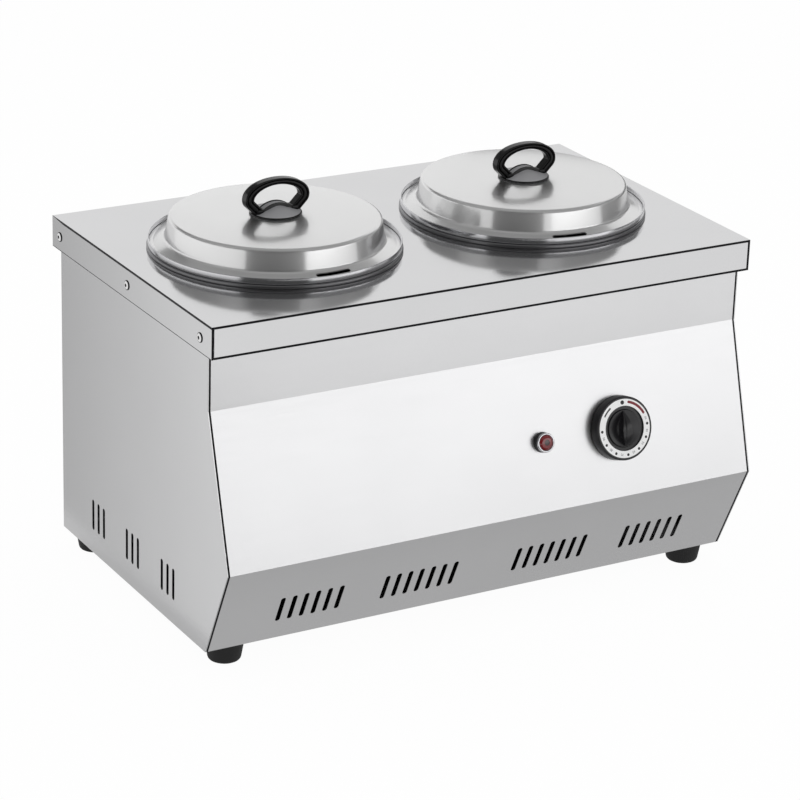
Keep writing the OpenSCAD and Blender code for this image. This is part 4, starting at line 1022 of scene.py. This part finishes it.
class KETTLE_OT_grips(bpy.types.Operator):
    """Make the moulded grips of the lids"""

    bl_idname = "kettle.grips"
    bl_label = "Lid grips"

    def execute(self, context):
        sizes = context.scene.kettle_sizes
        width, depth = sizes.grip_width / MM, sizes.grip_depth / MM
        bore, lip_depth, lip_out, lip_up, lug_x = 2.6, 1.6, 0.6, 0.9, 18.6
        for side in SIDES:
            node = "lid_handle_" + side
            seat_r = radius_of(node, axis=1)
            seat = spun(rounded(
                [(bore, 0), (seat_r, 0), (seat_r, 2.5), (21.5, 2.6), (10.5, 6.8), (4, 9.6),
                 (0, 9.9)],
                [0, 0.4, 0.9, 0.8, 2.5, 4, 0]) + [(0, 8.0), (bore, 8.0)], 96)
            edge = spun(rounded(
                [(25.2, 0.1), (seat_r, 0.1), (seat_r, 2.4), (24.6, 2.62), (24.6, 2.2)],
                [0, 0.3, 0.8, 0.05, 0]), 96)
            # The web and seat take the grey phenolic, whose mid-grey is a painted sheen
            parts = [(grip_loop(width, depth), 0), (grip_web(depth), 1), (seat, 1), (edge, 0)]
            for s in (-1, 1):
                lip = grip_web(lip_depth)
                shift = (0, s * (sizes.grip_depth / 2 - lip_out * MM), lip_up * MM)
                bmesh.ops.translate(lip, vec=shift, verts=lip.verts[:])
                parts.append((lip, 0))
            parts += [(block((7.5, 11.6, 5.6), (s * lug_x, 0, 4.4), 1.0), 0) for s in (-1, 1)]
            base = Vector((0, 0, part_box(node)[0].z))
            piece("lid_grip_" + side, joined(*parts), side + "_lid",
                  ["gloss_phenolic", "sheen_grey_phenolic"], replaces=(node,),
                  place=Matrix.Translation(well_axis(side) + base), sharp=32)
            finish_nodes("zinc_plate", "handle_screw_" + side, "handle_washer_" + side)
        return {"FINISHED"}


def knob_blade():
    """Blade of the knob: a leaf with its point up the panel, crowned by a ball."""
    half_length, top, root, smooth = 17.7, 18.4, 9.0, 0.7
    flare, flare_reach, groove_depth, groove_width, ring_steps = 3.4, 18.2, 0.5, 0.35, 60
    rise = top - DIAL_FACE
    ball = (half_length ** 2 + rise ** 2) / (2 * rise)
    knots = [(-17.6, 1.2), (-16.4, 2.4), (-12, 3.9), (-6, 5.4), (-1, 5.6), (4, 4.7),
             (10, 3.0), (15, 1.5), (17.6, 0.5)]

    def half_width(y):
        for (y0, w0), (y1, w1) in zip(knots, knots[1:]):
            if y <= y1:
                return w0 + (w1 - w0) * max(0.0, (y - y0) / (y1 - y0))
        return knots[-1][1]

    def crown(x, y):
        return top - ball + math.sqrt(max(0.0, ball ** 2 - x ** 2 - y ** 2))

    def ring(y):
        w = (half_width(y - smooth) + half_width(y) + half_width(y + smooth)) / 3
        ease = min(0.45, w * 0.4)
        edge = crown(w, y) - ease
        spread = flare * (1 - (y / flare_reach) ** 2)
        flank = [(w + spread * f ** 2, y, edge + (root - edge) * (1 - (1 - f) ** 2))
                 for f in (0, 0.2, 0.4, 0.6, 0.8, 1)]
        ridge = []
        for x in (w * math.sin(math.pi / 2 * j / 8) for j in range(-8, 9)):
            groove = groove_depth * math.exp(-((x + 0.4 * w) / groove_width) ** 2)
            corner = ease * 0.45 if abs(x) > w - 1e-6 else 0
            ridge.append((x, y, crown(x, y) - groove - corner))
        return [(-x, y, z) for x, y, z in flank[::-1]] + ridge + flank

    return lofted([ring(-half_length + 2 * half_length * k / ring_steps)
                   for k in range(ring_steps + 1)])


def printed_numbers(height, radius=26.1, size=3.4):
    """Numbers of the dial, each at its turn in degrees with its foot to the knob's middle."""
    turns = {30: 75, 40: 103, 50: 133, 60: 163, 70: 193.5, 80: 224.5, 90: 255.5}
    numbers = bmesh.new()
    for number, turn in turns.items():
        curve = bpy.data.curves.new("number", "FONT")
        curve.body = str(number)
        curve.size = size * MM
        curve.align_x, curve.align_y = "CENTER", "CENTER"
        curve.extrude = height * MM
        curve.resolution_u = 3
        holder = linked("number", curve)
        flat = evaluated(holder)
        flat.transform(Matrix.Rotation(math.radians(-turn), 4, "Z")
                       @ Matrix.Translation((0, radius * MM, DIAL_FACE * MM)))
        numbers.from_mesh(flat)
        bpy.data.objects.remove(holder)
        bpy.data.meshes.remove(flat)
    return numbers


class KETTLE_OT_knob(bpy.types.Operator):
    """Make the control knob with its printed dial"""

    bl_idname = "kettle.knob"
    bl_label = "Knob"

    def execute(self, context):
        face, height = DIAL_FACE, context.scene.kettle_sizes.mark_height / MM
        ring_in, ring_out, ring_t, sunk = 22.5, 29.5, 0.6, 0.1
        place = on_fascia(KNOB_AT)
        body = spun(rounded(
            [(3.1, 1.6), (8, 1.6), (8, 7.5), (29.4, 7.5), (30.1, 1), (32.6, 1), (31.9, face),
             (ring_out, face), (ring_out, face - ring_t), (ring_in, face - ring_t),
             (ring_in, face - 2), (19, face - 2), (18.4, face), (9, face - 2.4),
             (0, face - 2.6)],
            [0, 0, 0, 0, 0, 0.5, 1.3, 0, 0, 0, 0, 0.3, 0.5, 3.0, 0]) + [(0, 9.0), (3.1, 9.0)],
            128)
        piece("control_knob_body", joined((body, 0), (knob_blade(), 0)), "knob",
              ["knob_phenolic"], replaces=("control_knob",), place=place,
              sharp=30)
        first, last = ring_in + 0.05, ring_out - 0.05
        ring = spun(rounded(
            [(first, face - ring_t), (last, face - ring_t), (last, face), (first, face)],
            [0, 0, 0.1, 0]), 128)
        piece("dial_ring_face", ring, "knob", ["white_dial_ink"],
              replaces=("dial_ring",), place=place)

        def bar(inner, outer, start, end):
            return arc_prism(inner, outer, 90 - start, 90 - end, face - sunk, face + height)

        def spot(radius, steps):
            return spun([(0, -sunk), (radius, -sunk), (radius, height), (0, height)], steps)

        def spot_place(x, y):
            return tuple(place @ (Vector((x, y, face)) * MM)), tuple(OUT)

        marks = joined((bar(25.2, 27.8, 16, 62), 0), (bar(25.7, 27.2, 305, 321), 1),
                       (bar(25.6, 27.3, 322.5, 326), 1))
        piece("dial_bars", marks, "knob", ["red_dial_ink", "black_dial_ink"],
              place=place)
        repeated("dial_off_mark", spot(2.1, 32), [spot_place(0, 26.0)], "black_dial_ink",
                 "knob")
        dots_r = 26.6
        turns = (math.radians(90 - turn) for turn in (88, 117.5, 148, 178, 209, 240, 271))
        places = [spot_place(dots_r * math.cos(a), dots_r * math.sin(a)) for a in turns]
        repeated("dial_dots", spot(1.4, 24), places, "black_dial_ink", "knob")
        piece("dial_numbers", printed_numbers(height), "knob",
              ["grey_dial_ink"], place=place)
        finish_nodes("bright_screw_steel", "thermostat_shaft")
        return {"FINISHED"}


class KETTLE_OT_lamp(bpy.types.Operator):
    """Make the pilot lamp"""

    bl_idname = "kettle.lamp"
    bl_label = "Lamp"

    def execute(self, context):
        at = KNOB_AT.copy()
        at.x = centre_of("lamp_bezel").x
        place = on_fascia(at)
        base, bore, rim, lens_r = 5.4, 7.5, radius_of("lamp_bezel"), radius_of("lamp_lens")
        bezel = spun(rounded(
            [(bore, base), (rim, base), (rim, 7.8), (8.2, 7.8), (bore, 7.0)],
            [0, 0, 0.8, 0.5, 0]), 96)
        piece("lamp_bezel_ring", bezel, "casing", ["chrome_plate"],
              replaces=("lamp_bezel",), place=place)
        lens = spun(rounded(
            [(0, base), (lens_r, base), (lens_r, 7.5), (5.5, 8.9), (2.9, 9.2), (2.8, 8.9),
             (0, 9.1)],
            [0, 0, 0.6, 2.0, 0.1, 0, 0]), 64)
        dark_r, dark_z = 2.85 * MM, 8.8 * MM
        for face in lens.faces:
            middle = face.calc_center_median()
            if middle.z > dark_z and middle.xy.length < dark_r:
                face.material_index = 1
        piece("lamp_lens_dome", lens, "casing",
              ["red_polycarbonate", "shaded_polycarbonate"], replaces=("lamp_lens",),
              place=place)
        finish_nodes("moulded_nylon", "lamp_body", "lamp_nut")
        return {"FINISHED"}


class KETTLE_OT_inside(bpy.types.Operator):
    """Finish the heaters, the thermostat, the supply parts and the wiring"""

    bl_idname = "kettle.inside"
    bl_label = "Inside"

    def execute(self, context):
        plain = {
            "oxidised_sheath": ("heating_element_left", "heating_element_right"),
            "zinc_plate": ("element_clamp_left", "element_clamp_right", "thermostat_screws",
                           "bulb_clip", "terminal_screws"),
            "drawn_copper": ("sensor_bulb",),
            "turned_brass": ("earth_stud", "earth_nuts"),
            "thermostat_case": ("thermostat_body",),
            "moulded_nylon": ("cable_gland", "gland_cap", "gland_locknut"),
            "glazed_steatite": ("terminal_block",),
        }
        for key, nodes in plain.items():
            finish_nodes(key, *nodes)
        wiring = {
            "brown_silicone": ("wire_brown", ("wire_live", "wire_heat_left",
                                              "wire_heat_right", "wire_lamp_live")),
            "blue_silicone": ("wire_blue", ("wire_return_left", "wire_return_right",
                                            "wire_lamp_return")),
            "earth_silicone": ("wire_earth", ("wire_earth",)),
            "drawn_copper": ("copper", ("capillary_tube",)),
        }
        for key, (slot, nodes) in wiring.items():
            for node in nodes:
                mesh = settled(merged(node), ("SUBSURF", {"levels": 1, "render_levels": 1}))
                piece(node + "_run", mesh, "casing", [key], replaces=(node,), sharp=80)
        return {"FINISHED"}


# ---------------------------------------------------------------- studio


# Upright cards bent round the kettle: azimuths in degrees, heights and radius in metres, strength
SCREENS = {
    "flag_camera": ((-60, -4), (0.25, 1.55), 1.4, 0.10),
    "softbox_front_right": ((2, 56), (0.45, 1.6), 3.0, 1.72),
    "flag_right": ((62, 148), (0.09, 0.69), 2.0, 0.16),
    "flag_back_left": ((-185, -140), (1.77, 3.07), 3.0, 0.15),
    "flag_ring": ((-160, 110), (0.97, 2.4), 2.6, 0.25),
    "grey_left": ((-150, -62), (0.02, 0.97), 2.0, 1.0),
}
# Level cards: two corners and height in metres, strength, and its slope in each metre
LEVEL_CARDS = {
    "flag_overhead": ((-2.5, -2.5), (2.5, 2.5), 2.6, 0.35, (0, 0, 0)),
    "shade_front": ((-0.45, -0.268), (1.4, -0.12), 0.003, 0.515, (0, 0, 0)),
    "flag_floor_camera": ((-1.1, -1.3), (-0.1, -0.45), 0.006, 0.1, (0, 0, 0)),
    "flag_floor_front": ((-0.45, -0.52), (1.4, -0.27), 0.005, 0.1, (0, 0, 0)),
    "bounce_front": ((-0.55, -1.45), (1.45, -0.55), 0.004, 1.05, (0, 0, 0)),
    "shade_left": ((-1.3, -0.2), (-0.33, 1.2), 0.004, 0.295, (-1.54, -0.7, 0)),
}
WHITE = (1, 1, 1, 1)


def card_of(name, points, faces, strength, slope=(0, 0, 0)):
    """Glowing card that only reflections see. Its strength changes by slope in each metre."""
    data = bpy.data.meshes.new(name)
    data.from_pydata(points, [], faces)
    made = bpy.data.materials.new(name)
    tree = bare_tree(made)
    at = add(tree, "ShaderNodeTexCoord").outputs["Object"]
    rise = add(tree, "ShaderNodeVectorMath", {0: at, 1: slope}, operation="DOT_PRODUCT")
    level = add(tree, "ShaderNodeMath", {0: rise.outputs["Value"], 1: strength},
                operation="ADD")
    glow = add(tree, "ShaderNodeEmission", {"Color": WHITE, "Strength": level.outputs[0]})
    add(tree, "ShaderNodeOutputMaterial", {"Surface": glow.outputs[0]})
    data.materials.append(made)
    card = linked(name, data)
    card.visible_camera = False
    card.visible_diffuse = False
    card.visible_shadow = False


def screen_of(name, azimuths, heights, radius, strength, steps=24):
    """Upright card bent round the kettle from one azimuth to another."""
    first, last = azimuths
    rim = [math.radians(first + (last - first) * k / steps) for k in range(steps + 1)]
    points = [(radius * math.sin(a), -radius * math.cos(a), z) for a in rim for z in heights]
    faces = [(2 * k, 2 * k + 1, 2 * k + 3, 2 * k + 2) for k in range(steps)]
    card_of(name, points, faces, strength)


def level_card(name, low, high, z, strength, slope):
    """Level card between two corners."""
    points = [(low[0], low[1], z), (high[0], low[1], z), (high[0], high[1], z),
              (low[0], high[1], z)]
    card_of(name, points, [(0, 1, 2, 3)], strength, slope)


def lamp_of(name, at, target, size, power):
    """Softbox that faces a point."""
    light = bpy.data.lights.new(name, "AREA")
    light.shape = "RECTANGLE"
    light.size, light.size_y = size
    light.energy = power
    made = linked(name, light)
    made.location = at
    made.rotation_euler = (Vector(at) - Vector(target)).to_track_quat("Z", "Y").to_euler()
    made.visible_glossy = False


def lay_floor(colour, far=8.0):
    """Floor of white paper. It glows for the camera, and a little in mirrors."""
    seen_share, mirrored_share, mottle, mottle_size = 0.97, 0.3, 0.98, 400 * MM
    floor = bpy.data.meshes.new("studio_floor")
    floor.from_pydata([(-far, -far, 0), (far, -far, 0), (far, far, 0), (-far, far, 0)],
                      [], [(0, 1, 2, 3)])
    paper = bpy.data.materials.new("studio_paper")
    tree = bare_tree(paper)
    seen = add(tree, "ShaderNodeLightPath").outputs
    at = add(tree, "ShaderNodeTexCoord").outputs["Object"]
    fibre = add(tree, "ShaderNodeTexNoise", {
        "Vector": at, "Scale": 1 / mottle_size, "Detail": 2.0}).outputs["Fac"]
    base = list(colour) + [1.0]
    shade = [c * mottle for c in base[:3]] + [1.0]
    tint = add(tree, "ShaderNodeMix", {0: fibre, 6: base, 7: shade}, data_type="RGBA")
    matt = add(tree, "ShaderNodeBsdfDiffuse", {"Color": tint.outputs[2]})
    glow = add(tree, "ShaderNodeEmission", {"Color": WHITE, "Strength": 1.0})
    shown = add(tree, "ShaderNodeMath", {0: seen["Is Camera Ray"], 1: seen_share},
                operation="MULTIPLY")
    share = add(tree, "ShaderNodeMath", {
        0: seen["Is Glossy Ray"], 1: mirrored_share, 2: shown.outputs[0]},
        operation="MULTIPLY_ADD")
    mixed = add(tree, "ShaderNodeMixShader", {
        0: share.outputs[0], 1: matt.outputs[0], 2: glow.outputs[0]})
    add(tree, "ShaderNodeOutputMaterial", {"Surface": mixed.outputs[0]})
    floor.materials.append(paper)
    linked("studio_floor", floor)


def fill_air(scene, ambient=0.72):
    """White world, which lights matt surfaces less than the camera and mirrors see of it."""
    scene.world = bpy.data.worlds.new("studio_air")
    tree = bare_tree(scene.world)
    seen = add(tree, "ShaderNodeLightPath").outputs
    either = add(tree, "ShaderNodeMath", {
        0: seen["Is Camera Ray"], 1: seen["Is Glossy Ray"]}, operation="MAXIMUM")
    any_clear = add(tree, "ShaderNodeMath", {
        0: either.outputs[0], 1: seen["Is Transmission Ray"]}, operation="MAXIMUM")
    strength = add(tree, "ShaderNodeMapRange", {
        "Value": any_clear.outputs[0], "To Min": ambient, "To Max": 1.0})
    sky = add(tree, "ShaderNodeBackground", {"Color": WHITE, "Strength": strength.outputs[0]})
    add(tree, "ShaderNodeOutputWorld", {"Surface": sky.outputs[0]})


def aim_camera(scene, studio):
    """Camera by its azimuth, elevation and roll."""
    azimuth, elevation, roll = studio.azimuth, studio.elevation, studio.roll
    back = Vector((math.sin(azimuth) * math.cos(elevation),
                   -math.cos(azimuth) * math.cos(elevation), math.sin(elevation)))
    right = (-back).cross(Vector((0, 0, 1))).normalized()
    up = right.cross(-back)
    rolled_right = math.cos(roll) * right + math.sin(roll) * up
    rolled_up = -math.sin(roll) * right + math.cos(roll) * up
    lens = bpy.data.cameras.new("studio_camera")
    lens.lens, lens.sensor_width, lens.sensor_fit = studio.lens, 36, "HORIZONTAL"
    lens.clip_end = 50
    camera = linked("studio_camera", lens)
    turn = Matrix((rolled_right, rolled_up, back)).transposed().to_4x4()
    front = Vector((0, PLATE_LOW.y, PLATE_HIGH.z))
    camera.matrix_world = Matrix.Translation(front + Vector(studio.camera_from_front)) @ turn
    scene.camera = camera


class KETTLE_OT_stage(bpy.types.Operator):
    """Set the floor, the light and the camera"""

    bl_idname = "kettle.stage"
    bl_label = "Stage"

    def execute(self, context):
        scene, studio = context.scene, context.scene.kettle_studio
        lay_floor(studio.floor_colour)
        fill_air(scene)
        lamp_of("softbox_overhead", at=(0.2, 0.1, 2.4), target=(0, 0, 0.2), size=(2.2, 1.8),
                power=studio.key_power)
        for name, values in SCREENS.items():
            screen_of(name, *values)
        for name, values in LEVEL_CARDS.items():
            level_card(name, *values)
        aim_camera(scene, studio)
        scene.view_settings.view_transform = "Standard"
        return {"FINISHED"}


class KETTLE_PT_panel(bpy.types.Panel):
    """Sidebar of the kettle"""

    bl_idname = "KETTLE_PT_panel"
    bl_label = "Soup kettle"
    bl_space_type = "VIEW_3D"
    bl_region_type = "UI"
    bl_category = "Kettle"

    def draw(self, context):
        for held in (context.scene.kettle_sizes, context.scene.kettle_studio):
            for key in held.__annotations__:
                self.layout.prop(held, key)
        for step in STEPS:
            self.layout.operator(step.bl_idname)


STEPS = (
    KETTLE_OT_casing, KETTLE_OT_fasteners, KETTLE_OT_wells, KETTLE_OT_pots, KETTLE_OT_lids,
    KETTLE_OT_grips, KETTLE_OT_knob, KETTLE_OT_lamp, KETTLE_OT_inside, KETTLE_OT_stage,
)
CLASSES = (KettleSizes, KettleStudio, *STEPS, KETTLE_PT_panel)


def register():
    """Adds the classes, and the settings to the scene."""
    for kind in CLASSES:
        bpy.utils.register_class(kind)
    bpy.types.Scene.kettle_sizes = PointerProperty(type=KettleSizes)
    bpy.types.Scene.kettle_studio = PointerProperty(type=KettleStudio)


def unregister():
    """Takes the settings and the classes away."""
    del bpy.types.Scene.kettle_studio
    del bpy.types.Scene.kettle_sizes
    for kind in reversed(CLASSES):
        bpy.utils.unregister_class(kind)


def main():
    """Makes everything in order, and keeps both boxes."""
    register()
    for step in STEPS:
        group, name = step.bl_idname.split(".")
        getattr(getattr(bpy.ops, group), name)()


if __name__ == "__main__":
    main()
